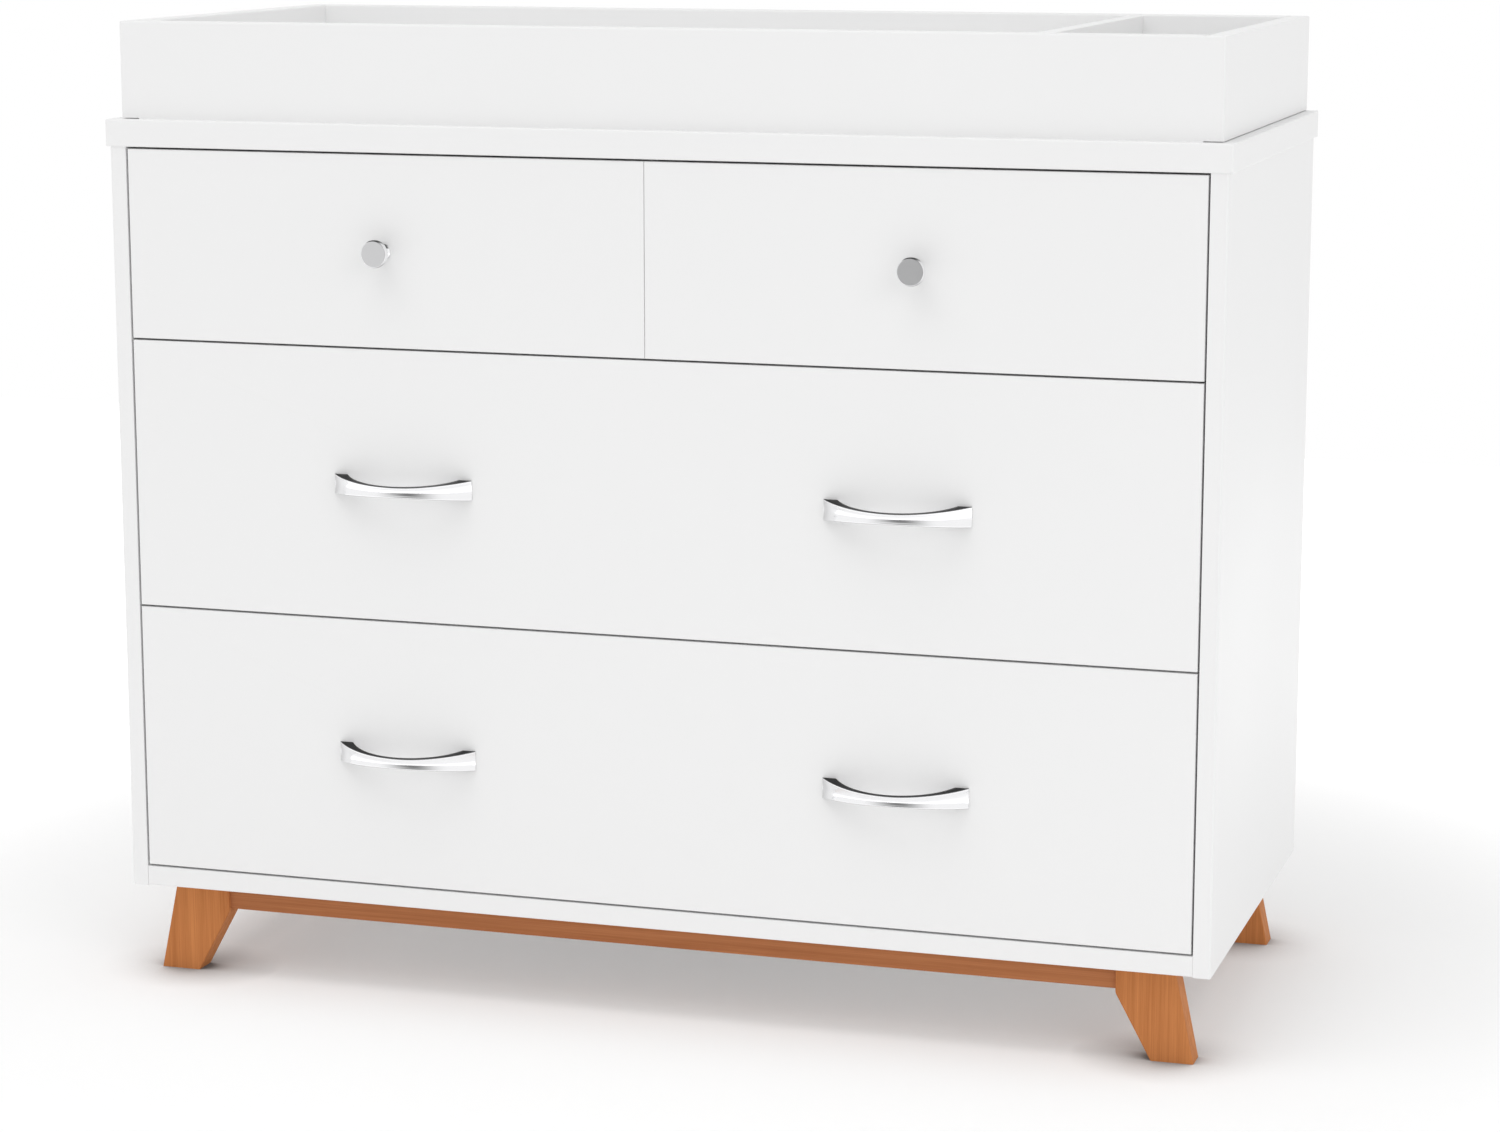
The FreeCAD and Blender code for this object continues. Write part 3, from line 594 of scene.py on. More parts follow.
def touch_group():
    """Faint smudges and fine scratches on metal."""
    inputs = {"Vector": "Vector", "Smudges": "Float"}
    group, start, end = new_group("Touch marks", inputs, {"Roughness": "Float", "Height": "Float"})
    vector = start.outputs["Vector"]
    smudge = ranged(group, add_noise(group, vector, 60, 4, 0.6), 0.45, 0.75)
    amount = joined(group, "MULTIPLY", smudge, start.outputs["Smudges"])
    group.links.new(amount, end.inputs["Roughness"])
    group.links.new(add_noise(group, vector, 700, 2), end.inputs["Height"])
    return group


def painted_shade_facing_group():
    """How far a surface looks up, down or to the left, as soft masks for the chrome's painted shade."""
    masks = {"Up": ("Z", 0.66, 0.90), "Down": ("Z", -0.35, -0.85), "Left": ("X", -0.64, -0.80)}
    group, start, end = new_group("Facing", {"Normal": "Vector"}, {name: "Float" for name in masks})
    split = add_node(group, "ShaderNodeSeparateXYZ")
    group.links.new(start.outputs["Normal"], split.inputs["Vector"])
    for name, (axis, low, high) in masks.items():
        mask = ranged(group, split.outputs[axis], low, high, kind="SMOOTHSTEP")
        group.links.new(mask, end.inputs[name])
    return group


def add_bump(tree, shader, height, strength, distance):
    """Relief from a height, fed to the shader's normal."""
    bump = add_node(tree, "ShaderNodeBump", {"Strength": strength, "Distance": distance})
    tree.links.new(height, bump.inputs["Height"])
    tree.links.new(bump.outputs["Normal"], shader.inputs["Normal"])


def paint_material(name, colour, roughness):
    """Satin paint with the fine texture of spraying."""
    material, tree, shader = new_material(name)
    spray = place_group(tree, "Spray texture", spray_group, {})
    tree.links.new(object_place(tree), spray.inputs["Vector"])
    patches = spray.outputs["Patches"]
    duller = [value * DULL_PATCH for value in colour]
    tree.links.new(blended(tree, patches, duller, colour), shader.inputs["Base Color"])
    sheen = ranged(tree, patches, 0.3, 0.7, roughness - SHEEN_SPREAD, roughness + SHEEN_SPREAD)
    tree.links.new(sheen, shader.inputs["Roughness"])
    add_bump(tree, shader, spray.outputs["Height"], 0.12, 0.1 * MM)
    return material


def wood_material(name, grain, light, dark, offset, contrast, pores, gloss):
    """Wood with its grain in one of three directions, cut at some place in the pattern."""
    material, tree, shader = new_material(name)
    values = {"Rotation": GRAIN_TURNS[grain], "Location": offset * PATTERN_SHIFT}
    turn = add_node(tree, "ShaderNodeMapping", values)
    tree.links.new(object_place(tree), turn.inputs["Vector"])
    values = {"Light Colour": (*light, 1), "Dark Colour": (*dark, 1), "Grain": contrast, "Pores": pores}
    figure = place_group(tree, "Wood figure", wood_figure_group, values)
    tree.links.new(turn.outputs["Vector"], figure.inputs["Vector"])
    tree.links.new(figure.outputs["Colour"], shader.inputs["Base Color"])
    tree.links.new(figure.outputs["Roughness"], shader.inputs["Roughness"])
    set_inputs(shader, {"Specular IOR Level": gloss})
    add_bump(tree, shader, figure.outputs["Height"], 0.25, 0.1 * MM)
    return material


def metal_material(name, colour, roughness, smudges, relief):
    """Plated metal with faint touch marks."""
    material, tree, shader = new_material(name)
    touch = place_group(tree, "Touch marks", touch_group, {"Smudges": smudges})
    tree.links.new(object_place(tree), touch.inputs["Vector"])
    set_inputs(shader, {"Base Color": (*colour, 1), "Metallic": 1})
    total = joined(tree, "ADD", touch.outputs["Roughness"], roughness)
    tree.links.new(total, shader.inputs["Roughness"])
    add_bump(tree, shader, touch.outputs["Height"], relief, 0.02 * MM)
    return material


def chrome_material():
    """Polished chrome of the handles and knobs, with painted shade where it faces up, down or to the left.
    """
    name = "chrome_polished"
    if name in bpy.data.materials:
        return bpy.data.materials[name]
    finishes = bpy.context.scene.dresser_finishes
    material = metal_material(name, finishes.chrome, roughness=0.10, smudges=0.05, relief=0.02)
    tree = material.node_tree
    shader = tree.nodes["Principled BSDF"]
    place = add_node(tree, "ShaderNodeTexCoord")
    facing = place_group(tree, "Facing", painted_shade_facing_group, {})
    tree.links.new(place.outputs["Normal"], facing.inputs["Normal"])
    painted_shade_shares = {"Up": finishes.chrome_painted_shade_above, "Down": finishes.chrome_painted_shade_below, "Left": finishes.chrome_painted_shade_left}
    shown = finishes.chrome
    # Painted shade: the chrome's colour is darkened where it faces up, down or to the left
    for mask, share in painted_shade_shares.items():
        darker = [value * share for value in finishes.chrome]
        shown = blended(tree, facing.outputs[mask], shown, darker)
    tree.links.new(shown, shader.inputs["Base Color"])
    # Painted shade on the glancing shine of faces that look up
    painted_glance = blended(tree, facing.outputs["Up"], (1, 1, 1), [finishes.chrome_painted_shade_glance] * 3)
    tree.links.new(painted_glance, shader.inputs["Specular Tint"])
    return material


def zinc_material():
    """Zinc-plated steel of slides, plates, screws and nails."""
    name = "zinc_plated"
    if name in bpy.data.materials:
        return bpy.data.materials[name]
    zinc = bpy.context.scene.dresser_finishes.zinc
    return metal_material(name, zinc, roughness=0.28, smudges=0.18, relief=0.3)


def finish_nodes(names, material):
    """Give CAD nodes their material."""
    for name in names:
        slots = NODES[name].data.materials
        slots.clear()
        slots.append(material)


def nodes_ending(*endings):
    """Names of the CAD nodes that end in one of several words."""
    return [name for name in sorted(NODES) if name.endswith(endings)]


# Operators, one for each piece or group of like pieces


class DRESSER_OT_boards(bpy.types.Operator):
    """Paint the case, the drawer fronts and the changing tray"""

    bl_idname = "dresser.boards"
    bl_label = "Paint boards"

    def execute(self, context):
        finishes = context.scene.dresser_finishes
        paint = paint_material("satin_paint", finishes.paint, finishes.paint_sheen)
        names = nodes_ending("_side_panel", "_board", "_drawer_front")
        names += ["back_panel", "drawer_shelf", "centre_partition", "drawer_stretcher", "tray_divider"]
        finish_nodes(names, paint)
        return {"FINISHED"}


class DRESSER_OT_base(bpy.types.Operator):
    """Stain the legs and rails of the base"""

    bl_idname = "dresser.base"
    bl_label = "Stain base"

    def execute(self, context):
        finishes = context.scene.dresser_finishes
        colours = (finishes.wood_light, finishes.wood_dark)
        for index, name in enumerate(nodes_ending("_leg")):
            material = wood_material(f"stained_{name}", "upright", *colours, 3.1 + index, **STAINED)
            finish_nodes([name], material)
        # The rails' colours: partly painted shade from the case above, partly their own redder tone
        tone = finishes.rail_tone_and_shade
        darker = [[value * share for value, share in zip(colour, tone)] for colour in colours]
        for index, name in enumerate(nodes_ending("_rail")):
            grain = "across" if name in ("front_rail", "rear_rail") else "along"
            material = wood_material(f"stained_{name}", grain, *darker, 7.3 + index, **STAINED)
            finish_nodes([name], material)
        return {"FINISHED"}


class DRESSER_OT_drawer_boxes(bpy.types.Operator):
    """Finish the wooden drawer boxes"""

    bl_idname = "dresser.drawer_boxes"
    bl_label = "Finish drawer boxes"

    def execute(self, context):
        finishes = context.scene.dresser_finishes
        colours = (finishes.box_light, finishes.box_dark)
        directions = {"side": "along", "back": "across", "panel": "across"}
        for drawer_index, drawer in enumerate(DRAWERS):
            for part, grain in directions.items():
                names = [node for node in nodes_ending(f"_{part}") if node.startswith(f"{drawer}_drawer_")]
                offset = 2.7 * drawer_index + len(part)
                name = f"box_wood_{drawer}_{part}"
                finish_nodes(names, wood_material(name, grain, *colours, offset, **BOX_WOOD))
        return {"FINISHED"}


class DRESSER_OT_steelwork(bpy.types.Operator):
    """Finish the slides and the tie plates"""

    bl_idname = "dresser.steelwork"
    bl_label = "Finish slides and plates"

    def execute(self, context):
        finish_nodes(nodes_ending("_runners", "tray_plates"), zinc_material())
        return {"FINISHED"}


def arc_radius(half_chord, rise):
    """Radius of an arc from half its chord and its rise."""
    return (half_chord**2 + rise**2) / (2 * rise)


def arc_dip(radius, across):
    """How far an arc falls away from its crown."""
    return radius - math.sqrt(radius**2 - across**2)


# Steps round a corner of a handle's section, points across its front, and sections of bow and foot
CORNER_STEPS = 6
FRONT_POINTS = 9
BOW_STATIONS = 52
FOOT_STATIONS = 7
# How much closer together the sections stand toward the feet
STATION_CROWDING = 0.8
# The largest rounding of the long edges, as a share of the thickness
MOST_ROUNDING = 0.42
# How far every point stands out beyond the rear line, as a share of a blunt end's thickness
LEAST_OUT = 0.25
# How suddenly the rear face gets taller toward the feet
REAR_GAIN_POWER = 6


def handle_stations(half_length, inner_half):
    """Places along a handle where its section is drawn, closer together where it bends more."""
    bow_angle = math.asin(inner_half / half_length * STATION_CROWDING)
    angles = [bow_angle * (2 * step / BOW_STATIONS - 1) for step in range(BOW_STATIONS + 1)]
    bow = [inner_half * math.sin(angle) / math.sin(bow_angle) for angle in angles]
    foot_step = (half_length - inner_half) / FOOT_STATIONS
    foot = [inner_half + foot_step * step for step in range(1, FOOT_STATIONS + 1)]
    return [-place for place in reversed(foot)] + bow + foot


def handle_sections(sizes):
    """Sections of the waisted, dished bow handle. X runs along it, -Y out and Z up from its middle."""
    half_length = sizes.handle_length / 2
    half_end = sizes.handle_end_height / 2
    half_waist = sizes.handle_waist_height / 2
    inner_half = half_length - sizes.handle_foot
    inner_rise = sizes.handle_projection - sizes.handle_thickness
    easing = sizes.handle_easing
    dish_radius = arc_radius(half_end, sizes.handle_dish)
    crown = sizes.handle_projection + sizes.handle_dish - arc_dip(dish_radius, half_waist)
    front_radius = arc_radius(half_length, crown - sizes.handle_end_thickness)
    inner_radius = arc_radius(inner_half, inner_rise)
    waist_radius = arc_radius(half_length, half_end - half_waist)
    least = LEAST_OUT * sizes.handle_end_thickness

    def edge_out(along, half_height):
        """How far the edges of the front face stand out."""
        bow = front_radius - sizes.handle_dish + arc_dip(dish_radius, half_height)
        return crown - front_radius + math.sqrt(bow**2 - along**2)

    def back_out(along):
        """How far the rear face stands out."""
        if abs(along) >= inner_half:
            return 0.0
        return inner_rise - arc_dip(inner_radius, along)

    def back_gain(along, half_height):
        """How much taller the rear edge is than the front one: most where the bow leaves its foot."""
        at_foot = half_end - half_waist - arc_dip(waist_radius, inner_half)
        if abs(along) >= inner_half:
            return half_end - half_height
        return at_foot * (abs(along) / inner_half) ** REAR_GAIN_POWER

    sections = []
    for along in handle_stations(half_length, inner_half):
        half_height = half_waist + arc_dip(waist_radius, along)
        back = back_out(along)
        back_half = half_height + back_gain(along, half_height)
        edge = edge_out(along, half_height)
        lean = math.sqrt(1 - (along / front_radius) ** 2)
        out_round = min(easing / lean, MOST_ROUNDING * (edge - back))
        turn_start = -math.atan(2 * sizes.handle_dish / half_height)
        centre_up = half_height - easing
        centre_out = edge - out_round
        tangent_up = centre_up + easing * math.sin(turn_start)
        tangent_out = centre_out + out_round * math.cos(turn_start)
        hollow = sizes.handle_dish / lean

        def front_out(up):
            """How far the hollow front face stands out between its rounded edges."""
            return tangent_out - hollow * (1 - (up / tangent_up) ** 2)

        upper = []
        for step in range(CORNER_STEPS + 1):
            angle = turn_start + (math.pi / 2 - turn_start) * step / CORNER_STEPS
            upper.append((centre_out + out_round * math.cos(angle), centre_up + easing * math.sin(angle)))
        for step in range(CORNER_STEPS + 1):
            angle = math.pi / 2 * (1 + step / CORNER_STEPS)
            rear_up = back_half - 0.5 * easing * (1 - math.sin(angle))
            upper.append((back + 0.5 * out_round * (1 + math.cos(angle)), rear_up))
        lower = [(out, -up) for out, up in reversed(upper)]
        ups = [tangent_up * (2 * step / FRONT_POINTS - 1) for step in range(1, FRONT_POINTS)]
        front = [(front_out(up), up) for up in ups]
        ring = upper + lower + front
        sections.append([Vector((along, -max(out, min(back, out) + least), up)) for out, up in ring])
    return sections


def place_pulls(pattern, pulls, ending):
    """Copies of a handle's or knob's pattern at its CAD nodes, each on its drawer."""
    for name, body in pulls.items():
        low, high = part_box(name)
        middle = (low + high) / 2
        copy_mesh_object(pattern, f"{name}_{ending}", Matrix.Translation((middle.x, high.y, middle.z)))
        finish_piece(f"{name}_{ending}", chrome_material(), body, [name])
    remove_pattern(pattern)


class DRESSER_OT_handles(bpy.types.Operator):
    """Model the four bow handles with their waisted, dished front faces"""

    bl_idname = "dresser.handles"
    bl_label = "Model handles"

    def execute(self, context):
        pattern = loft(handle_sections(context.scene.dresser_fittings))
        shade_by_angle(38)
        place_pulls(pattern, HANDLES, "bow")
        return {"FINISHED"}


class DRESSER_OT_knobs(bpy.types.Operator):
    """Turn the two round knobs of the top drawers"""

    bl_idname = "dresser.knobs"
    bl_label = "Turn knobs"

    def execute(self, context):
        sizes = context.scene.dresser_fittings
        rim = sizes.knob_rim / 2
        out = sizes.knob_projection
        foot = 8 * MM
        foot_end = 2 * MM
        neck = 5.5 * MM
        neck_start = 4.5 * MM
        neck_end = 17 * MM
        rim_start = out - 5 * MM
        rim_end = out - 2.5 * MM
        bevel = 0.9 * MM
        corners = [
            (0, 0, 0),
            (foot, 0, 0),
            (foot, foot_end, 0.7 * MM),
            (neck, neck_start, 2.4 * MM),
            (neck, neck_end, 5 * MM),
            (rim, rim_start, 0.5 * MM),
            (rim, rim_end, 0.7 * MM),
            (rim - bevel, out, 0.3 * MM),
            (rim - 1.6 * MM, out, 0),
            (0, out, 0),
        ]
        pattern = spin_profile(rounded_profile(corners), 96)
        shade_by_angle(30)
        place_pulls(pattern, KNOBS, "turned")
        return {"FINISHED"}


def spaced(start, end, spacing):
    """Places from a start to an end, evenly spaced and no further apart than a spacing."""
    count = math.ceil((end - start) / spacing)
    return [start + (end - start) * step / count for step in range(count + 1)]


def cut_cross(piece, face, size):
    """Cut a cross recess into the face of a screw head that looks along -Y."""
    slot = 0.24 * size
    for length, height in ((size, slot), (slot, size)):
        deselect_all()
        bpy.ops.mesh.primitive_cube_add(size=1, location=(0, -face, 0))
        cutter = bpy.context.object
        cutter.scale = (length, 0.6 * size, height)
        bpy.ops.object.transform_apply(location=True, rotation=False, scale=True)
        select_only(piece)
        cut = piece.modifiers.new("Recess", "BOOLEAN")
        cut.operation = "DIFFERENCE"
        cut.solver = "EXACT"
        cut.object = cutter
        bpy.ops.object.modifier_apply(modifier=cut.name)
        remove_pattern(cutter)
    select_only(piece)


# A handle's screw stands this far in from the handle's end
HANDLE_HOLE_INSET = 8.5 * MM
# The screws of a slide, from the front of its drawer member, and how deep its hollow lies
SLIDE_SCREW_PLACES = (0.03, 0.13, 0.24, 0.35)
SLIDE_HOLLOW = 8.3 * MM
# The screws of a tie plate, in from its outer side and from its ends
PLATE_SCREW_ASIDE = 18 * MM
PLATE_SCREW_INSET = 9 * MM
# The nails of the back panel, in from its sides, its lower end and its upper end
NAIL_ASIDE = 4 * MM
NAIL_LOWEST = 10 * MM
NAIL_HIGHEST = 20 * MM
# Edges of a fastener that are sharper than this stay sharp in shading
FASTENER_SHARPNESS = 35


class DRESSER_OT_fasteners(bpy.types.Operator):
    """Model the screws of the handles, knobs, slides and plates, and the nails of the back panel"""

    bl_idname = "dresser.fasteners"
    bl_label = "Model screws and nails"

    def execute(self, context):
        sizes = context.scene.dresser_fittings
        self.add_pull_screws(sizes)
        self.add_slide_screws(sizes)
        self.add_plate_screws()
        self.add_nails(sizes)
        return {"FINISHED"}

    def turned_screw(self, corners, steps, top, cross):
        """A screw from its profile, with a cross of some size cut into the top of its head."""
        pattern = spin_profile(rounded_profile(corners), steps)
        cut_cross(pattern, top, cross)
        shade_by_angle(FASTENER_SHARPNESS)
        return pattern

    def add_copies(self, pattern, name, places, angle, body):
        """Copies of a fastener at several places, turned about Z and joined to one object."""
        copies = []
        for index, place in enumerate(places):
            matrix = Matrix.Translation(place) @ Matrix.Rotation(angle, 4, "Z")
            copies.append(copy_mesh_object(pattern, f"{name}_{index}", matrix))
        deselect_all()
        for copy in copies:
            copy.select_set(True)
        bpy.context.view_layer.objects.active = copies[0]
        if len(copies) > 1:
            bpy.ops.object.join()
        finish_piece(name, zinc_material(), body)

    def add_pull_screws(self, sizes):
        """Pan-head screws with washers, from inside the drawers into the handles and knobs."""
        head = sizes.screw_head / 2
        washer = head + 0.9 * MM
        washer_thick = 0.8 * MM
        shaft = 1.9 * MM
        top = 3.2 * MM
        reach = node_size("bottom_drawer_front").y - 0.2 * MM
        corners = [
            (0, -reach, 0),
            (shaft, -reach, 0),
            (shaft, 0, 0),
            (washer, 0, 0),
            (washer, washer_thick, 0.2 * MM),
            (head, washer_thick, 0),
            (head, top - 0.2 * MM, 1.3 * MM),
            (0, top, 0),
        ]
        pattern = self.turned_screw(corners, 32, top, 0.62 * sizes.screw_head)
        hole = sizes.handle_length / 2 - HANDLE_HOLE_INSET
        for drawer in DRAWERS:
            pulls = [pull for pull in {**HANDLES, **KNOBS} if pull.startswith(f"{drawer}_")]
            inner_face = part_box(f"{drawer}_drawer_front")[1].y
            places = []
            for pull in pulls:
                low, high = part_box(pull)
                middle = (low + high) / 2
                for along in (-hole, hole) if pull in HANDLES else (0,):
                    places.append(Vector((middle.x + along, inner_face, middle.z)))
            self.add_copies(pattern, f"{drawer}_pull_screws", places, math.pi, f"{drawer}_drawer")
        remove_pattern(pattern)

    def add_slide_screws(self, sizes):
        """Flat screws in the hollow of each drawer member."""
        head = 0.45 * sizes.screw_head
        top = 1.8 * MM
        corners = [(0, 0, 0), (head, 0, 0), (head, 1.5 * MM, 0.8 * MM), (0, top, 0)]
        pattern = self.turned_screw(corners, 24, top, 1.1 * head)
        for drawer in DRAWERS:
            low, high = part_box(f"{drawer}_inner_runners")
            level = (low.z + high.z) / 2
            for side, wall, angle in (
                ("left", low.x + SLIDE_HOLLOW, -math.pi / 2),
                ("right", high.x - SLIDE_HOLLOW, math.pi / 2),
            ):
                places = [Vector((wall, low.y + along, level)) for along in SLIDE_SCREW_PLACES]
                name = f"{drawer}_{side}_slide_screws"
                self.add_copies(pattern, name, places, angle, f"{drawer}_drawer")
        remove_pattern(pattern)

    def add_plate_screws(self):
        """Screws that lie flush in the holes of the tie plates."""
        thick = node_size("tray_plates").y
        head = 2.4 * MM
        corners = [(0, -thick, 0), (head, -thick, 0), (head, -0.1 * MM, 0.25 * MM), (0, 0, 0)]
        pattern = self.turned_screw(corners, 32, 0, 3.4 * MM)
        low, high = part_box("tray_plates")
        side = high.x - PLATE_SCREW_ASIDE
        levels = (low.z + PLATE_SCREW_INSET, high.z - PLATE_SCREW_INSET)
        places = [Vector((x, high.y, level)) for x in (-side, side) for level in levels]
        self.add_copies(pattern, "tie_plate_screws", places, math.pi, "case")
        remove_pattern(pattern)

    def add_nails(self, sizes):
        """Flat nails round the back panel and along the shelf and partition behind it."""
        head = sizes.nail_head / 2
        corners = [(0, 0, 0), (head, 0, 0), (head, 0.5 * MM, 0.3 * MM), (0, 0.7 * MM, 0)]
        pattern = spin_profile(rounded_profile(corners, 2), 12)
        shade_by_angle(FASTENER_SHARPNESS)
        low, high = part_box("back_panel")
        shelf_low, shelf_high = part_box("drawer_shelf")
        edge = high.x - NAIL_ASIDE
        floor_level = low.z + NAIL_LOWEST
        shelf_level = (shelf_low.z + shelf_high.z) / 2
        upright = spaced(floor_level, high.z - NAIL_HIGHEST, sizes.nail_spacing)
        across = spaced(-edge, edge, sizes.nail_spacing)[1:-1]
        spots = [(x, z) for x in (-edge, edge) for z in upright]
        spots += [(x, z) for z in (floor_level, shelf_level) for x in across]
        spots += [(0, z) for z in spaced(shelf_level, upright[-1], sizes.nail_spacing)[1:]]
        places = [Vector((x, high.y, z)) for x, z in spots]
        self.add_copies(pattern, "back_panel_nails", places, math.pi, "case")
        remove_pattern(pattern)


# Where each lamp stands, the point that it looks at, and its side
LAMPS = {
    "top": ((-0.6, -1.6, 4.2), (0, 0, 0.4), 3.0),
    "side": ((3.5, 0.3, 1.4), (0, 0, 0.45), 2.4),
    "key": ((3.3, -2.9, 2.4), (0, 0, 0.45), 2.4),
}
# The floor's glow grows between two distances from the middle, to a full glow
GLOW_START = 0.75
GLOW_END = 1.8
FULL_GLOW = 0.6
# How much of the floor's view of the studio is left right beside a foot, where the painted contact shadow
# is at its darkest
BESIDE_FOOT = 0.40
# How dark the two flags are, and the directions in which they start and are full
FRONT_FLAG = 0.78
FRONT_FLAG_ASIDE = (0.72, 0)
FRONT_FLAG_EDGES = (("Z", -0.34, -0.18), ("Z", 0.64, 0.38), ("Y", -0.2, -0.5))
CEILING_FLAG = 0.90
CEILING_FLAG_EDGE = (0.50, 0.75)


class DRESSER_OT_stage(bpy.types.Operator):
    """Set up the floor, the soft studio light and the camera"""

    bl_idname = "dresser.stage"
    bl_label = "Set up studio"

    def execute(self, context):
        studio = context.scene.dresser_studio
        self.add_floor(studio)
        self.add_sky(context.scene, studio)
        for name, place in LAMPS.items():
            self.add_lamp(f"{name}_lamp", *place, getattr(studio, f"{name}_power"))
        self.add_camera(context.scene, studio)
        context.scene.view_settings.view_transform = "Standard"
        return {"FINISHED"}

    def add_floor(self, studio):
        """A pale floor that shows white where nothing shades it, with painted contact shadow where the
        dresser stands close by.
        """
        deselect_all()
        bpy.ops.mesh.primitive_plane_add(size=studio.floor_size, location=(0, 0, 0))
        floor = bpy.context.object
        floor.name = "floor"
        material, tree, shader = new_material("pale_floor")
        painted_contact = self.add_painted_contact_shadow(tree, studio)
        # Painted contact shadow in the floor's colour
        tree.links.new(joined(tree, "MULTIPLY", studio.floor_grey, painted_contact), shader.inputs["Base Color"])
        set_inputs(shader, {"Roughness": 0.9, "Specular IOR Level": 0, "Emission Color": (1, 1, 1, 1)})
        reach = add_node(tree, "ShaderNodeVectorMath", operation="LENGTH")
        tree.links.new(object_place(tree), reach.inputs[0])
        glows = (studio.floor_glow, FULL_GLOW)
        glow = ranged(tree, reach.outputs["Value"], GLOW_START, GLOW_END, *glows, "SMOOTHSTEP")
        shown = joined(tree, "MULTIPLY", glow, self.add_seen_rays(tree))
        # The painted contact shadow darkens the floor's glow too
        shaded = joined(tree, "MULTIPLY", shown, painted_contact)
        path = add_node(tree, "ShaderNodeLightPath")
        lift = joined(tree, "MULTIPLY_ADD", path.outputs["Is Diffuse Ray"], studio.floor_lift, shaded)
        tree.links.new(lift, shader.inputs["Emission Strength"])
        floor.data.materials.append(material)

    def add_painted_contact_shadow(self, tree, studio):
        """Painted contact shadow: one on the open floor, and less where a foot stands close by."""
        near = add_node(tree, "ShaderNodeAmbientOcclusion", {"Distance": studio.painted_shadow_reach})
        return ranged(tree, near.outputs["AO"], BESIDE_FOOT, 1, studio.painted_shadow_tone, 1)

    def add_seen_rays(self, tree):
        """One for rays that are seen straight, in metal or through glass, and zero for light."""
        path = add_node(tree, "ShaderNodeLightPath")
        either = joined(tree, "MAXIMUM", path.outputs["Is Camera Ray"], path.outputs["Is Glossy Ray"])
        return joined(tree, "MAXIMUM", either, path.outputs["Is Transmission Ray"])

    def add_sky(self, scene, studio):
        """White all round, with soft dark flags that only metal and gloss see."""
        world = bpy.data.worlds.new("studio")
        scene.world = world
        world.use_nodes = True
        tree = world.node_tree
        background = tree.nodes["Background"]
        place = add_node(tree, "ShaderNodeTexCoord")
        split = add_node(tree, "ShaderNodeSeparateXYZ")
        tree.links.new(place.outputs["Generated"], split.inputs["Vector"])

        def soft_step(value, start, full):
            """Zero before the start and one past the full place, with a soft step between."""
            return ranged(tree, value, start, full, kind="SMOOTHSTEP")

        aside = joined(tree, "ABSOLUTE", split.outputs["X"])
        front = joined(tree, "MULTIPLY", soft_step(aside, *FRONT_FLAG_ASIDE), FRONT_FLAG)
        for axis, start, full in FRONT_FLAG_EDGES:
            front = joined(tree, "MULTIPLY", front, soft_step(split.outputs[axis], start, full))
        ceiling = soft_step(split.outputs["Z"], *CEILING_FLAG_EDGE)
        ceiling = joined(tree, "MULTIPLY", ceiling, CEILING_FLAG)
        path = add_node(tree, "ShaderNodeLightPath")
        flags = joined(tree, "MAXIMUM", front, ceiling)
        flags = joined(tree, "MULTIPLY", flags, path.outputs["Is Glossy Ray"])
        # Rays that are seen get white less the flags, and light gets the sky's own level
        extra = joined(tree, "SUBTRACT", 1 - studio.sky, flags)
        level = joined(tree, "MULTIPLY_ADD", extra, self.add_seen_rays(tree), studio.sky)
        set_inputs(background, {"Color": (1, 1, 1, 1)})
        tree.links.new(level, background.inputs["Strength"])

    def add_lamp(self, name, place, target, size, power):
        """A large soft lamp that looks at a point."""
        deselect_all()
        turn = (Vector(target) - Vector(place)).to_track_quat("-Z", "Y").to_euler()
        bpy.ops.object.light_add(type="AREA", location=place, rotation=turn)
        lamp = bpy.context.object
        lamp.name = name
        lamp.data.shape = "SQUARE"
        lamp.data.size = size
        lamp.data.energy = power
        lamp.visible_camera = False
        lamp.visible_glossy = False

    def add_camera(self, scene, studio):
        """The camera at the photograph's viewing angle."""
        deselect_all()
        turn = (math.pi / 2 - studio.camera_tilt, 0, studio.camera_turn)
        bpy.ops.object.camera_add(location=studio.camera_place, rotation=turn)
        camera = bpy.context.object
        camera.name = "camera"
        camera.data.lens = studio.camera_lens
        camera.data.sensor_width = 36
        camera.data.clip_end = 100
        camera.data.dof.use_dof = False
        scene.camera = camera


class DRESSER_PT_panel(bpy.types.Panel):
    """The dresser's steps, in order"""

    bl_idname = "DRESSER_PT_panel"
    bl_label = "Dresser"
    bl_space_type = "VIEW_3D"
    bl_region_type = "UI"
    bl_category = "Dresser"

    def draw(self, context):
        for operator in OPERATORS:
            self.layout.operator(operator.bl_idname)
        for group in GROUPS:
            settings = getattr(context.scene, GROUPS[group])
            self.layout.label(text=group.__doc__)
            for name in group.__annotations__:
                self.layout.prop(settings, name)


GROUPS = {
    DresserFinishes: "dresser_finishes",
    DresserFittings: "dresser_fittings",
    DresserStudio: "dresser_studio",
}
OPERATORS = (
    DRESSER_OT_boards,
    DRESSER_OT_base,
    DRESSER_OT_drawer_boxes,
    DRESSER_OT_steelwork,
    DRESSER_OT_handles,
    DRESSER_OT_knobs,
    DRESSER_OT_fasteners,
    DRESSER_OT_stage,
)
CLASSES = (*GROUPS, *OPERATORS, DRESSER_PT_panel)


def register():
    """Add the settings, operators and panel to Blender."""
    for kind in CLASSES:
        bpy.utils.register_class(kind)
    for group, name in GROUPS.items():
        setattr(bpy.types.Scene, name, PointerProperty(type=group))


def unregister():
    """Take the settings, operators and panel out of Blender."""
    for name in GROUPS.values():
        delattr(bpy.types.Scene, name)
    for kind in reversed(CLASSES):
        bpy.utils.unregister_class(kind)


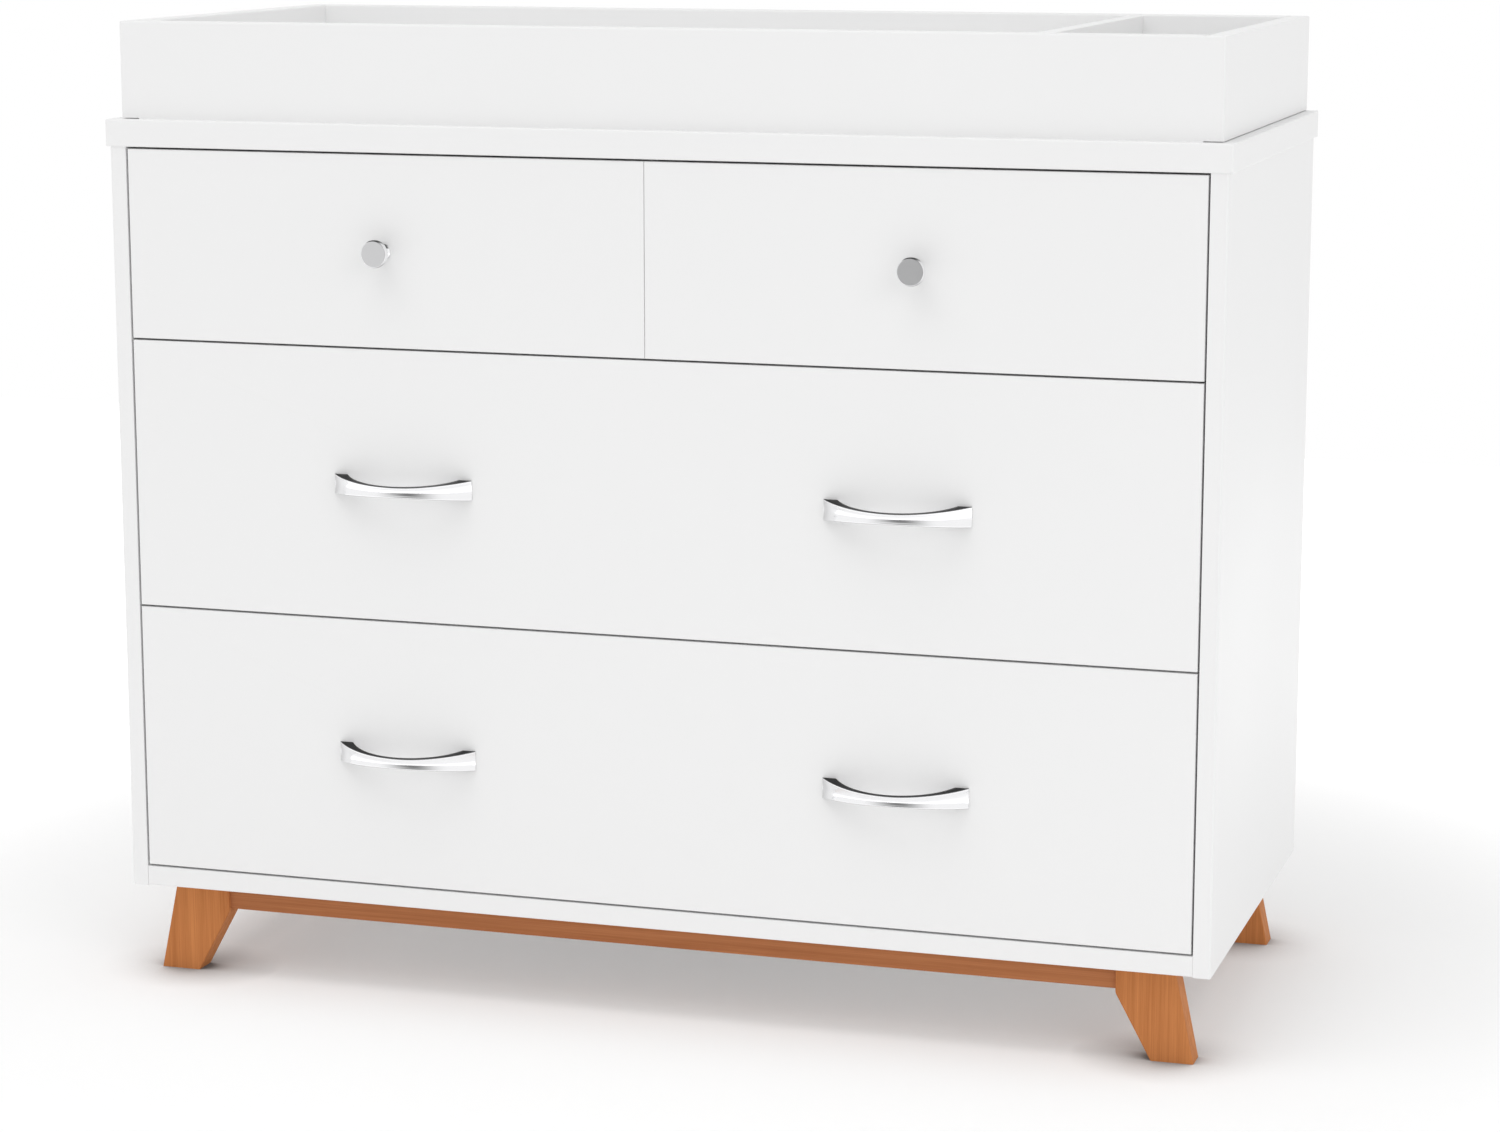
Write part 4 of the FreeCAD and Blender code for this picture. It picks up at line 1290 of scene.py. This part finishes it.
def main():
    """Build everything in order."""
    register()
    bpy.ops.dresser.boards()
    bpy.ops.dresser.base()
    bpy.ops.dresser.drawer_boxes()
    bpy.ops.dresser.steelwork()
    bpy.ops.dresser.handles()
    bpy.ops.dresser.knobs()
    bpy.ops.dresser.fasteners()
    bpy.ops.dresser.stage()


if __name__ == "__main__":
    main()
